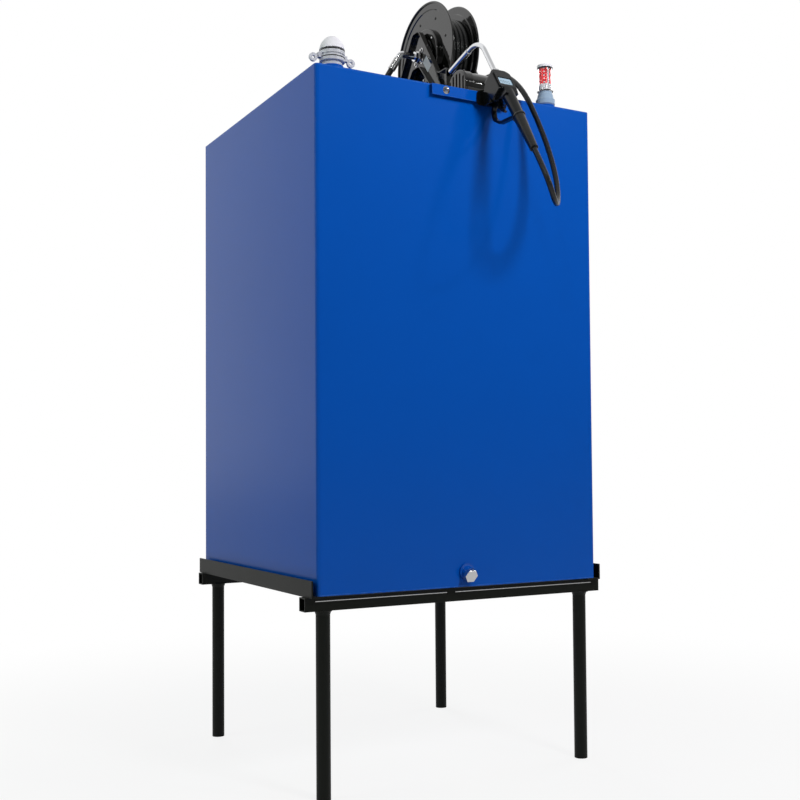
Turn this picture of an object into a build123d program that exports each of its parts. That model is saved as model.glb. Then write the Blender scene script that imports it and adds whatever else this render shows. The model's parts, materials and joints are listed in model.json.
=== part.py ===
from build123d import *
from math import cos, sin, tan, radians, pi, hypot
import os

# Single skin oil tank on a four-legged stand, with a hose reel, an electric pump,
# a metered oil gun, a cam-lock filler with a vent dome, a contents gauge and a drain.
# Millimetres. +Z up, +X right along the front, +Y to the back. The origin is on the
# floor, under the middle of the whole outline, which the gun's boot ends at the front.

os.makedirs("parts", exist_ok=True)

# Tank
tank_width = 1000.0
tank_depth = 975.0
tank_height = 1545.0
sheet = 3.0
corner_radius = 12.0
stand_height = 588.0

# Stand
angle_size = 50.0
angle_thick = 5.0
rail_gap = 15.0
cross_size = 40.0
cross_wall = 3.0
cross_overhang = 31.0
cross_inset = 22.0
packer_width = 22.0
packer_x = -40.0
leg_diameter = 42.4
leg_wall = 3.2
leg_inset = 35.0
weld_size = 4.0
weld_height = 12.0

# Drain on the front
drain_height = 46.0
drain_slope = 20.0
drain_flange_diameter = 51.0
drain_flange_length = 8.0
drain_barrel_diameter = 42.0
drain_stub_length = 22.0
drain_bore = 26.0
plug_across_flats = 38.0
plug_head_length = 12.0
plug_chamfer = 2.0
thread_gap = 0.1
round_handle = 0.5523

# Filler near the front left corner of the top
filler_inset_x = 96.0
filler_inset_y = 90.0
filler_socket_diameter = 70.0
filler_socket_height = 30.0
filler_bore = 50.0
coupler_diameter = 62.0
coupler_height = 24.0
cap_diameter = 78.0
cap_height = 34.0
cap_groove_height = 4.0
cap_groove_depth = 3.0
cap_rim_height = 12.0
cap_rounding = 3.0
dome_diameter = 77.0
dome_height = 43.0
dome_gap = 5.0
stem_diameter = 68.0
lever_length = 21.0
lever_thick = 8.0
lever_width = 16.0
lever_droop = 26.0
lever_drop = 16.0
lever_ring_diameter = 26.0
lever_ring_hole = 9.0
lug_width = 8.0
lug_reach = 9.0
lug_root = 4.0
pin_diameter = 5.0
running_gap = 0.05
side_gap = 0.5

# Contents gauge near the front right corner of the top
gauge_inset_x = 112.0
gauge_inset_y = 90.0
gauge_socket_diameter = 62.0
gauge_socket_height = 30.0
gauge_bore = 40.0
gauge_collar_diameter = 64.0
gauge_base_height = 24.0
gauge_cone_height = 18.0
gauge_ring_height = 6.0
gauge_taper = 4.0
gauge_diameter = 50.0
gauge_window_height = 90.0
gauge_wall = 2.5
gauge_dome = 8.0
gauge_drum_diameter = 40.0
gauge_drum_low = 24.0
gauge_drum_height = 54.0
gauge_skirt_diameter = 44.0
gauge_skirt_height = 24.0

# Hose reel
reel_x = 130.0
reel_inset_y = 440.0
reel_height = 262.0
disc_radius = 194.0
disc_thick = 2.0
disc_step_radius = 165.0
disc_step = 3.0
rim_radius = 3.5
drum_width = 88.0
drum_radius = 112.0
drum_wall = 3.0
hub_radius = 24.0
shaft_radius = 15.0
hose_diameter = 17.0
hose_pitch = 17.6
hose_turns = 5
layer_step = 16.8
hose_gap = 0.3
free_turn_radius = 138.5
wrap_sides = 8
hub_gap = 1.0
spring_case_radius = 100.0
spring_case_depth = 15.0
spring_case_rounding = 5.0
spring_case_step = 3.0
spring_case_step_radius = 66.0
bracket_gap = 26.0
bracket_thick = 3.0
bracket_rise = 86.0
bracket_apex_width = 44.0
bracket_apex_radius = 26.0
bracket_knee_drop = 103.0
bracket_knee_reach = 150.0
bracket_knee_radius = 24.0
arch_drop = 42.0
arch_width = 44.0
arch_radius = 18.0
arch_side_drop = 160.0
foot_reach = 207.0
foot_width = 85.0
foot_corner = 6.0
flange_width = 17.0
foot_flange_width = 34.0
foot_plate_thick = 5.0
foot_plate_margin = 12.0

# Pump
pump_x = 75.0
pump_inset_y = 150.0
pump_axis_height = 64.0
motor_radius = 57.0
motor_barrel_radius = 53.0
motor_rounding = 9.0
fan_cover_length = 32.0
fan_cover_wall = 2.0
louvre_width = 9.0
louvre_pitch = 20.0
louvre_count = 5
louvre_margin = 13.0
motor_length = 88.0
plug_recess_radius = 12.0
plug_recess_depth = 7.0
plug_recess_at = 44.0
pump_flange_radius = 50.0
pump_flange_length = 12.0
pump_head_radius = 47.0
pump_head_length = 62.0
pump_cover_radius = 42.0
pump_cover_length = 14.0
outlet_offset = 25.0
outlet_radius = 15.0
outlet_length = 24.0
suction_radius = 17.0
pump_foot_length = 60.0
pump_foot_width = 92.0
pump_foot_height = 22.0

# Hose from the pump to the reel
jumper_diameter = 20.0
inlet_length = 70.0
inlet_radius = 11.0
inlet_nut_flats = 32.0
inlet_nut_length = 16.0
ferrule_radius = 13.0
ferrule_length = 42.0

# Gun bracket and holster on the front
strip_left = -115.0
strip_right = 140.0
strip_drop = 3.0
strip_height = 33.0
strip_reach = 15.0
strip_thick = 3.0

# Gun
gun_x = 100.0
gun_reach = 95.0
gun_below_top = 10.0
gun_lean = 33.0
handle_radius = 20.0
handle_low_radius = 17.5
handle_length = 109.0
handle_start = -16.0
boot_length = 139.0
boot_top_radius = 18.5
boot_end_radius = 13.0
meter_width = 70.0
meter_low = -16.0
meter_high = 76.0
meter_front = 14.0
meter_back = -38.0
meter_corner = 20.0
meter_low_corner = 6.0
meter_edge = 2.0
bezel_width = 60.0
bezel_height = 76.0
bezel_depth = 5.0
bezel_corner = 12.0
valve_width = 46.0
valve_low = 0.0
valve_step_at = -18.0
valve_step = -42.0
valve_high = 62.0
spout_offset = -10.0
spout_diameter = 16.0
spout_bore = 12.0
spout_corner_at = 249.0
spout_drop_length = 182.0
spout_turn = 73.0
spout_bend = 75.0
tip_length = 114.0
tip_diameter = 20.0
spout_nut_radius = 14.0
spout_nut_length = 14.0
display_width = 50.0
display_height = 32.0
display_recess = 6.0
display_thick = 2.0
display_low = 2.0
guard_thick = 9.0
guard_width = 14.0
guard_root_at = 8.0
guard_root_depth = 6.0
guard_corner_at = -10.0
guard_corner_reach = 85.0
guard_far_at = -38.0
guard_reach = 94.0
guard_low_at = -72.0
guard_low_reach = 76.0
guard_end_rise = 13.0
guard_bend = 22.0
trigger_width = 10.0
trigger_thick = 7.0
trigger_length = 42.0
trigger_rise = 18.0
trigger_eye_radius = 7.0
trigger_pivot_s = -18.0
trigger_pivot_n = -56.0
trigger_ear = 5.0
holster_width = 112.0
holster_height = 45.0
holster_top_drop = 2.0
holster_corner = 12.0
holster_notch = 9.0
holster_seat_reach = 14.0
holster_plate = 3.0
holster_cheek = 8.0
holster_reach = 46.0

# Worked out from the sizes above
top = stand_height + tank_height
half_width = tank_width / 2
half_depth = tank_depth / 2
lean = radians(gun_lean)
handle_low = handle_start - handle_length
boot_low = handle_low - boot_length
boot_reach = gun_reach - sin(lean) * boot_low + cos(lean) * boot_end_radius
tank_y = boot_reach / 2
front = tank_y - half_depth
back = tank_y + half_depth
rail_outer = half_width + rail_gap + angle_thick
rail_low = stand_height - angle_thick
cross_low = rail_low - cross_size
cross_y = half_depth - cross_inset - cross_size / 2
cross_half_length = half_width + cross_overhang
leg_x = half_width - leg_inset
filler_x = -half_width + filler_inset_x
filler_y = front + filler_inset_y
gauge_x = half_width - gauge_inset_x
gauge_y = front + gauge_inset_y
reel_y = front + reel_inset_y
pump_y = front + pump_inset_y
gun_y = front - gun_reach
seat_gap = 0.3
# The gun's valve leans against the upper front edge of the strip
valve_back = seat_gap - cos(lean) * (gun_reach - strip_reach) + sin(lean) * (gun_below_top - strip_drop)

# Stand: two angles under the tank's sides, two square tubes across under them, four legs
side_rails = {}
for side, name in ((-1, "left"), (1, "right")):
    with BuildPart() as rail:
        with BuildSketch(Plane.XZ.offset(-back)):
            with BuildLine():
                Polyline(
                    (side * rail_outer, rail_low),
                    (side * (rail_outer - angle_size), rail_low),
                    (side * (rail_outer - angle_size), stand_height),
                    (side * (rail_outer - angle_thick), stand_height),
                    (side * (rail_outer - angle_thick), rail_low + angle_size),
                    (side * rail_outer, rail_low + angle_size),
                    close=True,
                )
            make_face()
        extrude(amount=tank_depth)
    side_rails[name] = rail

cross_rails = {}
for side, name in ((-1, "front"), (1, "back")):
    with BuildPart() as rail:
        with BuildSketch(Plane.YZ.offset(-cross_half_length)):
            with Locations((tank_y + side * cross_y, cross_low + cross_size / 2)):
                Rectangle(cross_size, cross_size)
                Rectangle(cross_size - 2 * cross_wall, cross_size - 2 * cross_wall, mode=Mode.SUBTRACT)
        extrude(amount=2 * cross_half_length)
        # A packer carries the tank's bottom in the middle, as thick as the side angles
        with Locations((packer_x, tank_y + side * cross_y, rail_low + angle_thick / 2)):
            Box(packer_width, cross_size, angle_thick)
    cross_rails[name] = rail

legs = {}
for across, x_name in ((-1, "left"), (1, "right")):
    for along, y_name in ((-1, "front"), (1, "back")):
        with BuildPart() as leg:
            with BuildSketch():
                with Locations((across * leg_x, tank_y + along * cross_y)):
                    Circle(leg_diameter / 2)
            extrude(amount=cross_low)
            with Locations((across * leg_x, tank_y + along * cross_y, cross_low - weld_height / 2)):
                Cone(leg_diameter / 2, leg_diameter / 2 + weld_size, weld_height)
            with BuildSketch():
                with Locations((across * leg_x, tank_y + along * cross_y)):
                    Circle(leg_diameter / 2 - leg_wall)
            extrude(amount=cross_low, mode=Mode.SUBTRACT)
        legs[y_name + "_" + x_name] = leg

# Tank: a folded shell with a bottom plate and a top plate
drain_plane = Plane(origin=(0, front, stand_height + drain_height), x_dir=(1, 0, 0), z_dir=(0, -1, 0))
drain_axis_plane = Plane(
    origin=drain_plane.origin, x_dir=(1, 0, 0),
    z_dir=(0, -cos(radians(drain_slope)), -sin(radians(drain_slope))),
)
with BuildPart() as tank_shell:
    with BuildSketch(Plane.XY.offset(stand_height + sheet)):
        with Locations((0, tank_y)):
            RectangleRounded(tank_width, tank_depth, corner_radius)
            RectangleRounded(
                tank_width - 2 * sheet, tank_depth - 2 * sheet, corner_radius - sheet, mode=Mode.SUBTRACT
            )
    extrude(amount=tank_height - 2 * sheet)
    with BuildSketch(drain_axis_plane):
        Circle(drain_bore / 2)
    extrude(amount=3 * sheet, both=True, mode=Mode.SUBTRACT)

with BuildPart() as tank_bottom:
    with BuildSketch(Plane.XY.offset(stand_height)):
        with Locations((0, tank_y)):
            RectangleRounded(tank_width, tank_depth, corner_radius)
    extrude(amount=sheet)

with BuildPart() as tank_top:
    with BuildSketch(Plane.XY.offset(top - sheet)):
        with Locations((0, tank_y)):
            RectangleRounded(tank_width, tank_depth, corner_radius)
        with Locations((filler_x, filler_y)):
            Circle(filler_bore / 2, mode=Mode.SUBTRACT)
        with Locations((gauge_x, gauge_y)):
            Circle(gauge_bore / 2, mode=Mode.SUBTRACT)
    extrude(amount=sheet)

# Drain: a flange and a stub that slopes down, welded on the front, closed by a hexagon plug
with BuildPart() as drain_socket:
    with BuildSketch(drain_plane):
        Circle(drain_flange_diameter / 2)
    extrude(amount=drain_flange_length)
    with BuildSketch(drain_axis_plane.offset(-drain_flange_length)):
        Circle(drain_barrel_diameter / 2)
    extrude(amount=drain_flange_length + drain_stub_length)
    split(bisect_by=drain_plane, keep=Keep.TOP)
    with BuildSketch(drain_axis_plane.offset(-2 * drain_flange_length)):
        Circle(drain_bore / 2)
    extrude(amount=2 * drain_flange_length + drain_stub_length, mode=Mode.SUBTRACT)

with BuildPart() as drain_plug:
    with BuildSketch(drain_axis_plane.offset(drain_stub_length)):
        RegularPolygon(plug_across_flats / 2, 6, major_radius=False)
    extrude(amount=plug_head_length)
    chamfer(drain_plug.faces().sort_by(Axis.Y)[0].edges(), plug_chamfer)
    with BuildSketch(drain_axis_plane.offset(drain_flange_length)):
        Circle(drain_bore / 2 - thread_gap)
    extrude(amount=drain_stub_length - drain_flange_length)

# Filler: a welded socket, a coupler, a cam-lock cap and a vent dome on a stem
coupler_low = top + filler_socket_height
cap_low = coupler_low + coupler_height / 2
cap_high = cap_low + cap_height
dome_low = cap_high + dome_gap
with BuildPart() as filler_socket:
    with BuildSketch(Plane.XY.offset(top)):
        with Locations((filler_x, filler_y)):
            Circle(filler_socket_diameter / 2)
            Circle(filler_bore / 2, mode=Mode.SUBTRACT)
    extrude(amount=filler_socket_height)

with BuildPart() as filler_coupler:
    with BuildSketch(Plane.XY.offset(coupler_low)):
        with Locations((filler_x, filler_y)):
            Circle(coupler_diameter / 2)
            Circle(filler_bore / 2, mode=Mode.SUBTRACT)
    extrude(amount=coupler_height)

lever_pivot_x = cap_diameter / 2 + lug_reach / 2
lever_pivot_z = cap_high - lever_drop
groove_low = cap_high - cap_rim_height - cap_groove_height
with BuildPart() as filler_cap:
    with BuildSketch(Plane.XY.offset(cap_low)):
        with Locations((filler_x, filler_y)):
            Circle(cap_diameter / 2)
    extrude(amount=cap_height)
    fillet(filler_cap.edges().filter_by(GeomType.CIRCLE), cap_rounding)
    with BuildSketch(Plane.XY.offset(groove_low)):
        with Locations((filler_x, filler_y)):
            Circle(cap_diameter / 2)
            Circle(cap_diameter / 2 - cap_groove_depth, mode=Mode.SUBTRACT)
    extrude(amount=cap_groove_height, mode=Mode.SUBTRACT)
    with BuildSketch(Plane.XY.offset(cap_low)):
        with Locations((filler_x, filler_y)):
            Circle(coupler_diameter / 2 + hose_gap)
    extrude(amount=coupler_height / 2 + hose_gap, mode=Mode.SUBTRACT)
    for side in (-1, 1):
        for lug in (-1, 1):
            with BuildSketch(Plane.XZ.offset(-filler_y - lug * (lever_thick / 2 + side_gap))):
                with Locations((filler_x + side * (cap_diameter + lug_reach - lug_root) / 2, lever_pivot_z)):
                    Rectangle(lug_reach + lug_root, lever_width)
            extrude(amount=-lug * lug_width / 2)
        with BuildSketch(Plane.XZ.offset(-filler_y)):
            with Locations((filler_x + side * lever_pivot_x, lever_pivot_z)):
                Circle(pin_diameter / 2)
        extrude(amount=lever_thick / 2 + side_gap + lug_width / 2, both=True)
        with BuildSketch(Plane.XZ.offset(-filler_y)):
            with Locations((filler_x + side * lever_pivot_x, lever_pivot_z)):
                Circle(lever_width / 2 + side_gap)
                Circle(pin_diameter / 2, mode=Mode.SUBTRACT)
        extrude(amount=lever_thick / 2 + side_gap, both=True, mode=Mode.SUBTRACT)

cam_levers = {}
for side, name in ((-1, "left"), (1, "right")):
    pivot = Vector(filler_x + side * lever_pivot_x, filler_y, lever_pivot_z)
    reach = Vector(side * cos(radians(lever_droop)), 0, -sin(radians(lever_droop)))
    lever_plane = Plane(origin=pivot, x_dir=reach, z_dir=(0, -1, 0))
    with BuildPart() as lever:
        with BuildSketch(lever_plane):
            Circle(lever_width / 2)
            with Locations((lever_length / 2, 0)):
                Rectangle(lever_length, lever_width * 0.6)
            with Locations((lever_length, 0)):
                Circle(lever_ring_diameter / 2)
                Circle(lever_ring_hole / 2, mode=Mode.SUBTRACT)
            Circle(pin_diameter / 2 + running_gap, mode=Mode.SUBTRACT)
        extrude(amount=lever_thick / 2, both=True)
    cam_levers[name] = lever

vent_plane = Plane(origin=(filler_x, filler_y, 0), x_dir=(1, 0, 0), z_dir=(0, -1, 0))
vent_axis = Axis((filler_x, filler_y, 0), (0, 0, 1))
with BuildPart() as vent_dome:
    with BuildSketch(vent_plane):
        with BuildLine():
            Polyline(
                (0, cap_high), (stem_diameter / 2, cap_high), (stem_diameter / 2, dome_low),
                (dome_diameter / 2, dome_low),
            )
            Bezier(
                (dome_diameter / 2, dome_low),
                (dome_diameter / 2, dome_low + 0.42 * dome_height),
                (0.52 * dome_diameter / 2, dome_low + dome_height),
                (0, dome_low + dome_height),
            )
            Line((0, dome_low + dome_height), (0, cap_high))
        make_face()
    revolve(axis=vent_axis)

# Contents gauge: welded socket, a round tapered base, clear window over a red drum
gauge_base_low = top + gauge_socket_height
gauge_window_low = gauge_base_low + gauge_base_height + gauge_cone_height + gauge_ring_height
with BuildPart() as gauge_socket:
    with BuildSketch(Plane.XY.offset(top)):
        with Locations((gauge_x, gauge_y)):
            Circle(gauge_socket_diameter / 2)
            Circle(gauge_bore / 2, mode=Mode.SUBTRACT)
    extrude(amount=gauge_socket_height)

gauge_plane = Plane(origin=(gauge_x, gauge_y, gauge_window_low), x_dir=(1, 0, 0), z_dir=(0, -1, 0))
gauge_axis = Axis((gauge_x, gauge_y, 0), (0, 0, 1))
gauge_radius = gauge_diameter / 2
collar = gauge_collar_diameter / 2
neck = gauge_radius - gauge_wall
base_high = gauge_base_height + gauge_cone_height
with BuildPart() as gauge_base:
    with BuildSketch(Plane(origin=(gauge_x, gauge_y, gauge_base_low), x_dir=(1, 0, 0), z_dir=(0, -1, 0))):
        with BuildLine():
            Polyline(
                (0, 0), (collar - gauge_taper, 0), (collar, gauge_taper), (collar, gauge_base_height - gauge_taper),
                (collar - gauge_taper, gauge_base_height), (gauge_radius, base_high - gauge_taper),
                (neck, base_high), (neck, base_high + gauge_ring_height), (0, base_high + gauge_ring_height),
                close=True,
            )
        make_face()
    revolve(axis=gauge_axis)

with BuildPart() as gauge_window:
    with BuildSketch(gauge_plane):
        with BuildLine():
            Polyline(
                (gauge_radius - gauge_wall, 0), (gauge_radius, 0),
                (gauge_radius, gauge_window_height - gauge_dome),
            )
            Bezier(
                (gauge_radius, gauge_window_height - gauge_dome),
                (gauge_radius, gauge_window_height - gauge_dome * (1 - round_handle)),
                (round_handle * gauge_radius, gauge_window_height),
                (0, gauge_window_height),
            )
            Polyline(
                (0, gauge_window_height), (0, gauge_window_height - gauge_dome - gauge_wall),
                (gauge_radius - gauge_wall, gauge_window_height - gauge_dome - gauge_wall),
                (gauge_radius - gauge_wall, 0),
            )
        make_face()
    revolve(axis=gauge_axis)

with BuildPart() as gauge_drum:
    with Locations((gauge_x, gauge_y, gauge_window_low)):
        Cylinder(
            gauge_skirt_diameter / 2, gauge_skirt_height, align=(Align.CENTER, Align.CENTER, Align.MIN)
        )
        Cylinder(
            gauge_drum_diameter / 2, gauge_drum_low + gauge_drum_height,
            align=(Align.CENTER, Align.CENTER, Align.MIN),
        )

# Hose reel: two pressed brackets on foot plates, a fixed shaft, and a drum that turns on it
reel_centre = Vector(reel_x, reel_y, top + reel_height)
reel_plane = Plane(origin=reel_centre, x_dir=(1, 0, 0), z_dir=(0, -1, 0))
reel_axis = Axis(reel_centre, (1, 0, 0))
inner_left = disc_thick
inner_right = disc_thick + drum_width
reel_width = drum_width + 2 * disc_thick

# Each disc is pressed: flat round the hub, stepped outwards near its edge, and curled at the rim
reel_discs = {}
for name, face_x, out in (("left", 0, -1), ("right", reel_width, 1)):
    inner_x = face_x - out * disc_thick
    with BuildPart() as disc:
        with BuildSketch(reel_plane):
            with BuildLine():
                Polyline(
                    (inner_x, hub_radius), (inner_x, disc_step_radius),
                    (inner_x + out * disc_step, disc_step_radius + disc_step),
                    (inner_x + out * disc_step, disc_radius - rim_radius),
                    (face_x + out * disc_step, disc_radius - rim_radius),
                    (face_x + out * disc_step, disc_step_radius + disc_step),
                    (face_x, disc_step_radius), (face_x, hub_radius),
                    close=True,
                )
            make_face()
            with Locations((inner_x + out * (disc_step + rim_radius), disc_radius - rim_radius)):
                Circle(rim_radius)
        revolve(axis=reel_axis)
    reel_discs[name] = disc

with BuildPart() as reel_drum:
    with BuildSketch(reel_plane):
        with Locations((reel_width / 2, drum_radius - drum_wall / 2)):
            Rectangle(drum_width, drum_wall)
        with Locations((reel_width / 2, (hub_radius + shaft_radius + running_gap) / 2)):
            Rectangle(
                reel_width + 2 * (bracket_gap - hub_gap), hub_radius - shaft_radius - running_gap
            )
        with Locations((inner_left + drum_wall / 2, (drum_radius + hub_radius) / 2)):
            Rectangle(drum_wall, drum_radius - hub_radius)
        with Locations((inner_right - drum_wall / 2, (drum_radius + hub_radius) / 2)):
            Rectangle(drum_wall, drum_radius - hub_radius)
    revolve(axis=reel_axis)

hose_radius = hose_diameter / 2
coil_outer = free_turn_radius - hose_radius - hose_gap
inner_layer_radius = coil_outer - hose_radius
with BuildPart() as wound_hose:
    with BuildSketch(reel_plane):
        with Locations((reel_width / 2, (drum_radius + inner_layer_radius) / 2)):
            Rectangle(drum_width - 2 * hose_gap, inner_layer_radius - drum_radius)
        for turn in range(hose_turns):
            turn_x = inner_left + hose_pitch * (turn + 0.5)
            # The last turn of the outer layer is the free hose, which stays clear of the rest
            turn_radius = free_turn_radius if turn < hose_turns - 1 else inner_layer_radius
            with Locations((turn_x, (turn_radius + inner_layer_radius) / 2)):
                Rectangle(hose_diameter, turn_radius - inner_layer_radius + hose_gap)
            with Locations((turn_x, turn_radius)):
                Circle(hose_radius)
    revolve(axis=reel_axis)

with BuildPart() as spring_case:
    with BuildSketch(reel_plane):
        with Locations((-spring_case_depth / 2, (spring_case_radius + hub_radius) / 2)):
            Rectangle(spring_case_depth, spring_case_radius - hub_radius)
        with Locations((-spring_case_depth - spring_case_step / 2, (spring_case_step_radius + hub_radius) / 2)):
            Rectangle(spring_case_step, spring_case_step_radius - hub_radius)
    revolve(axis=reel_axis)
    outer_edges = spring_case.edges().filter_by(
        lambda e: abs(e.length - 2 * pi * spring_case_radius) < 1 and e.center().X < reel_x - spring_case_depth / 2
    )
    fillet(outer_edges, spring_case_rounding)

# Each bracket is pressed sheet: a tall inverted V with a flange all round that points outwards
brackets = {}
foot_bottom = foot_plate_thick - reel_height
web_inner = foot_reach - foot_width
bracket_half = [
    (bracket_apex_width / 2, bracket_rise),
    (bracket_knee_reach, -bracket_knee_drop),
    (foot_reach, -bracket_knee_drop),
    (foot_reach, foot_bottom),
    (web_inner, foot_bottom),
    (web_inner, -arch_side_drop),
    (arch_width / 2, -arch_drop),
]
bracket_corners = [
    bracket_apex_radius, bracket_knee_radius, foot_corner, foot_corner, foot_corner, bracket_knee_radius,
    arch_radius,
]
for side, name in ((-1, "left"), (1, "right")):
    face_x = reel_x - bracket_gap if side < 0 else reel_x + reel_width + bracket_gap
    bracket_plane = Plane(origin=(face_x, reel_y, top + reel_height), x_dir=(0, 1, 0), z_dir=(1, 0, 0))
    with BuildPart() as bracket:
        with BuildSketch(bracket_plane) as outline:
            with BuildLine():
                Polyline(*bracket_half, *[(-y, z) for y, z in reversed(bracket_half)], close=True)
            make_face()
            for (y, z), radius in zip(bracket_half, bracket_corners):
                for end in (-1, 1):
                    corner = Vector(end * y, z)
                    near = outline.vertices().filter_by(
                        lambda v, at=corner: (Vector(v.X, v.Y) - at).length < 0.01
                    )
                    fillet(near, radius)
            Circle(shaft_radius + thread_gap, mode=Mode.SUBTRACT)
        extrude(amount=side * bracket_thick)
        with BuildSketch(bracket_plane) as rim:
            add(outline.sketch_local.faces()[0].outer_wire())
            make_face()
            offset(amount=-bracket_thick, mode=Mode.SUBTRACT)
        extrude(amount=side * flange_width)
        for end in (-1, 1):
            with Locations((
                face_x + side * foot_flange_width / 2,
                reel_y + end * (foot_reach - foot_width / 2),
                top + foot_plate_thick + bracket_thick / 2,
            )):
                Box(foot_flange_width, foot_width, bracket_thick)
    brackets[name] = bracket

foot_plates = {}
plate_left = reel_x - bracket_gap - foot_flange_width - foot_plate_margin
plate_right = reel_x + reel_width + bracket_gap + foot_flange_width + foot_plate_margin
for end, name in ((-1, "front"), (1, "back")):
    with BuildPart() as plate:
        with Locations((
            (plate_left + plate_right) / 2,
            reel_y + end * (foot_reach - foot_width / 2),
            top + foot_plate_thick / 2,
        )):
            Box(plate_right - plate_left, foot_width, foot_plate_thick)
    foot_plates[name] = plate

shaft_left = -bracket_gap - 2 * bracket_thick
shaft_right = reel_width + bracket_gap + 3 * bracket_thick
with BuildPart() as reel_shaft:
    with BuildSketch(reel_plane):
        with Locations(((shaft_left + shaft_right) / 2, shaft_radius / 2)):
            Rectangle(shaft_right - shaft_left, shaft_radius)
    revolve(axis=reel_axis)

# Pump: louvred fan cover, smooth motor barrel, pump head with a cover, outlet, suction and a foot
pump_centre = Vector(pump_x, pump_y, top + pump_axis_height)
pump_plane = Plane(origin=pump_centre, x_dir=(0, 1, 0), z_dir=(1, 0, 0))
motor_low = fan_cover_length
head_low = motor_low + motor_length
with BuildPart() as pump_fan_cover:
    with BuildSketch(pump_plane):
        Circle(motor_radius)
    extrude(amount=fan_cover_length)
    fillet(pump_fan_cover.faces().sort_by(Axis.X)[0].edges(), 8)
    with BuildSketch(pump_plane.offset(fan_cover_wall * 2)):
        Circle(motor_radius - fan_cover_wall * 2)
    extrude(amount=fan_cover_length, mode=Mode.SUBTRACT)
    with BuildSketch(pump_plane):
        for slot in range(louvre_count):
            slot_y = (slot - (louvre_count - 1) / 2) * louvre_pitch
            slot_length = 2 * (motor_radius ** 2 - slot_y ** 2) ** 0.5 - 2 * louvre_margin
            with Locations((slot_y, 0)):
                SlotOverall(slot_length, louvre_width, rotation=90)
    extrude(amount=fan_cover_wall * 2, mode=Mode.SUBTRACT)

with BuildPart() as pump_motor:
    with BuildSketch(pump_plane.offset(motor_low)):
        Circle(motor_barrel_radius)
    extrude(amount=motor_length)
    fillet(pump_motor.edges().filter_by(GeomType.CIRCLE).group_by(Axis.X)[-1], motor_rounding)
    with BuildSketch(Plane.XZ.offset(-pump_y + motor_barrel_radius + plug_recess_depth)):
        with Locations((pump_x + motor_low + plug_recess_at, top + pump_axis_height)):
            Circle(plug_recess_radius)
    extrude(amount=-2 * plug_recess_depth, mode=Mode.SUBTRACT)

with BuildPart() as pump_head:
    with BuildSketch(pump_plane.offset(head_low)):
        Circle(pump_flange_radius)
    extrude(amount=pump_flange_length)
    with BuildSketch(pump_plane.offset(head_low + pump_flange_length)):
        Circle(pump_head_radius)
    extrude(amount=pump_head_length)
    with BuildSketch(pump_plane.offset(head_low + pump_flange_length + pump_head_length)):
        Circle(pump_cover_radius)
    extrude(amount=pump_cover_length)

outlet_x = pump_x + head_low + outlet_offset
outlet_plane = Plane(origin=(outlet_x, pump_y, top + pump_axis_height), x_dir=(1, 0, 0), z_dir=(0, 1, 0))
outlet_end = pump_flange_radius + outlet_length
with BuildPart() as pump_outlet:
    with BuildSketch(outlet_plane):
        Circle(outlet_radius)
    extrude(amount=outlet_end)
    with BuildSketch(pump_plane.offset(head_low)):
        Circle(pump_flange_radius)
    extrude(amount=pump_flange_length, mode=Mode.SUBTRACT)
    with BuildSketch(pump_plane.offset(head_low + pump_flange_length)):
        Circle(pump_head_radius)
    extrude(amount=pump_head_length, mode=Mode.SUBTRACT)

suction_x = pump_x + head_low + pump_flange_length + pump_head_length / 2
with BuildPart() as pump_suction:
    with BuildSketch(Plane.XY.offset(top)):
        with Locations((suction_x, pump_y)):
            Circle(suction_radius)
    extrude(amount=pump_axis_height)
    with BuildSketch(pump_plane.offset(head_low + pump_flange_length)):
        Circle(pump_head_radius)
    extrude(amount=pump_head_length, mode=Mode.SUBTRACT)

with BuildPart() as pump_foot:
    with Locations((pump_x + motor_low + motor_length / 2, pump_y, top + pump_foot_height / 2)):
        Box(pump_foot_length, pump_foot_width, pump_foot_height)
    with BuildSketch(pump_plane):
        Circle(motor_barrel_radius + hose_gap)
    extrude(amount=head_low, mode=Mode.SUBTRACT)

# Inlet of the reel: a nut and tube on the shaft's end, an elbow and a ferrule
inlet_corner = reel_centre + Vector(shaft_left - inlet_length, 0, 0)
inlet_drop = Vector(-0.45, 0.25, -0.857).normalized()
ferrule_end = inlet_corner + inlet_drop * (ferrule_length + 20)
with BuildPart() as reel_inlet:
    with BuildLine() as inlet_route:
        FilletPolyline(
            reel_centre + Vector(shaft_left, 0, 0), inlet_corner, inlet_corner + inlet_drop * 22,
            radius=14,
        )
    with BuildSketch(Plane(origin=inlet_route.line @ 0, z_dir=inlet_route.line % 0)):
        Circle(inlet_radius)
    sweep()
    with BuildSketch(Plane(origin=inlet_route.line @ 0, z_dir=inlet_route.line % 0)):
        RegularPolygon(inlet_nut_flats / 2, 6, major_radius=False)
    extrude(amount=inlet_nut_length)

with BuildPart() as hose_ferrule:
    with BuildSketch(Plane(origin=inlet_corner + inlet_drop * 22, z_dir=inlet_drop)):
        Circle(ferrule_radius)
    extrude(amount=ferrule_length)


# A hose is straight runs joined by tangent arcs
def bend_radii(points, diameter):
    radii = []
    for before, corner, after in zip(points, points[1:], points[2:]):
        run_in = corner - before
        run_out = after - corner
        turn = radians(run_in.get_angle(run_out))
        shorter = min(run_in.length, run_out.length)
        radii.append(0.45 * shorter / tan(turn / 2))
    return radii


def report_hose(name, points, radii, diameter, part, wire):
    section = pi * diameter ** 2 / 4
    ratio = part.volume / (section * wire.length)
    rounded = [round(radius) for radius in radii]
    print(name, "length", round(wire.length), "radii", rounded, "volume ratio", round(ratio, 4))


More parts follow.
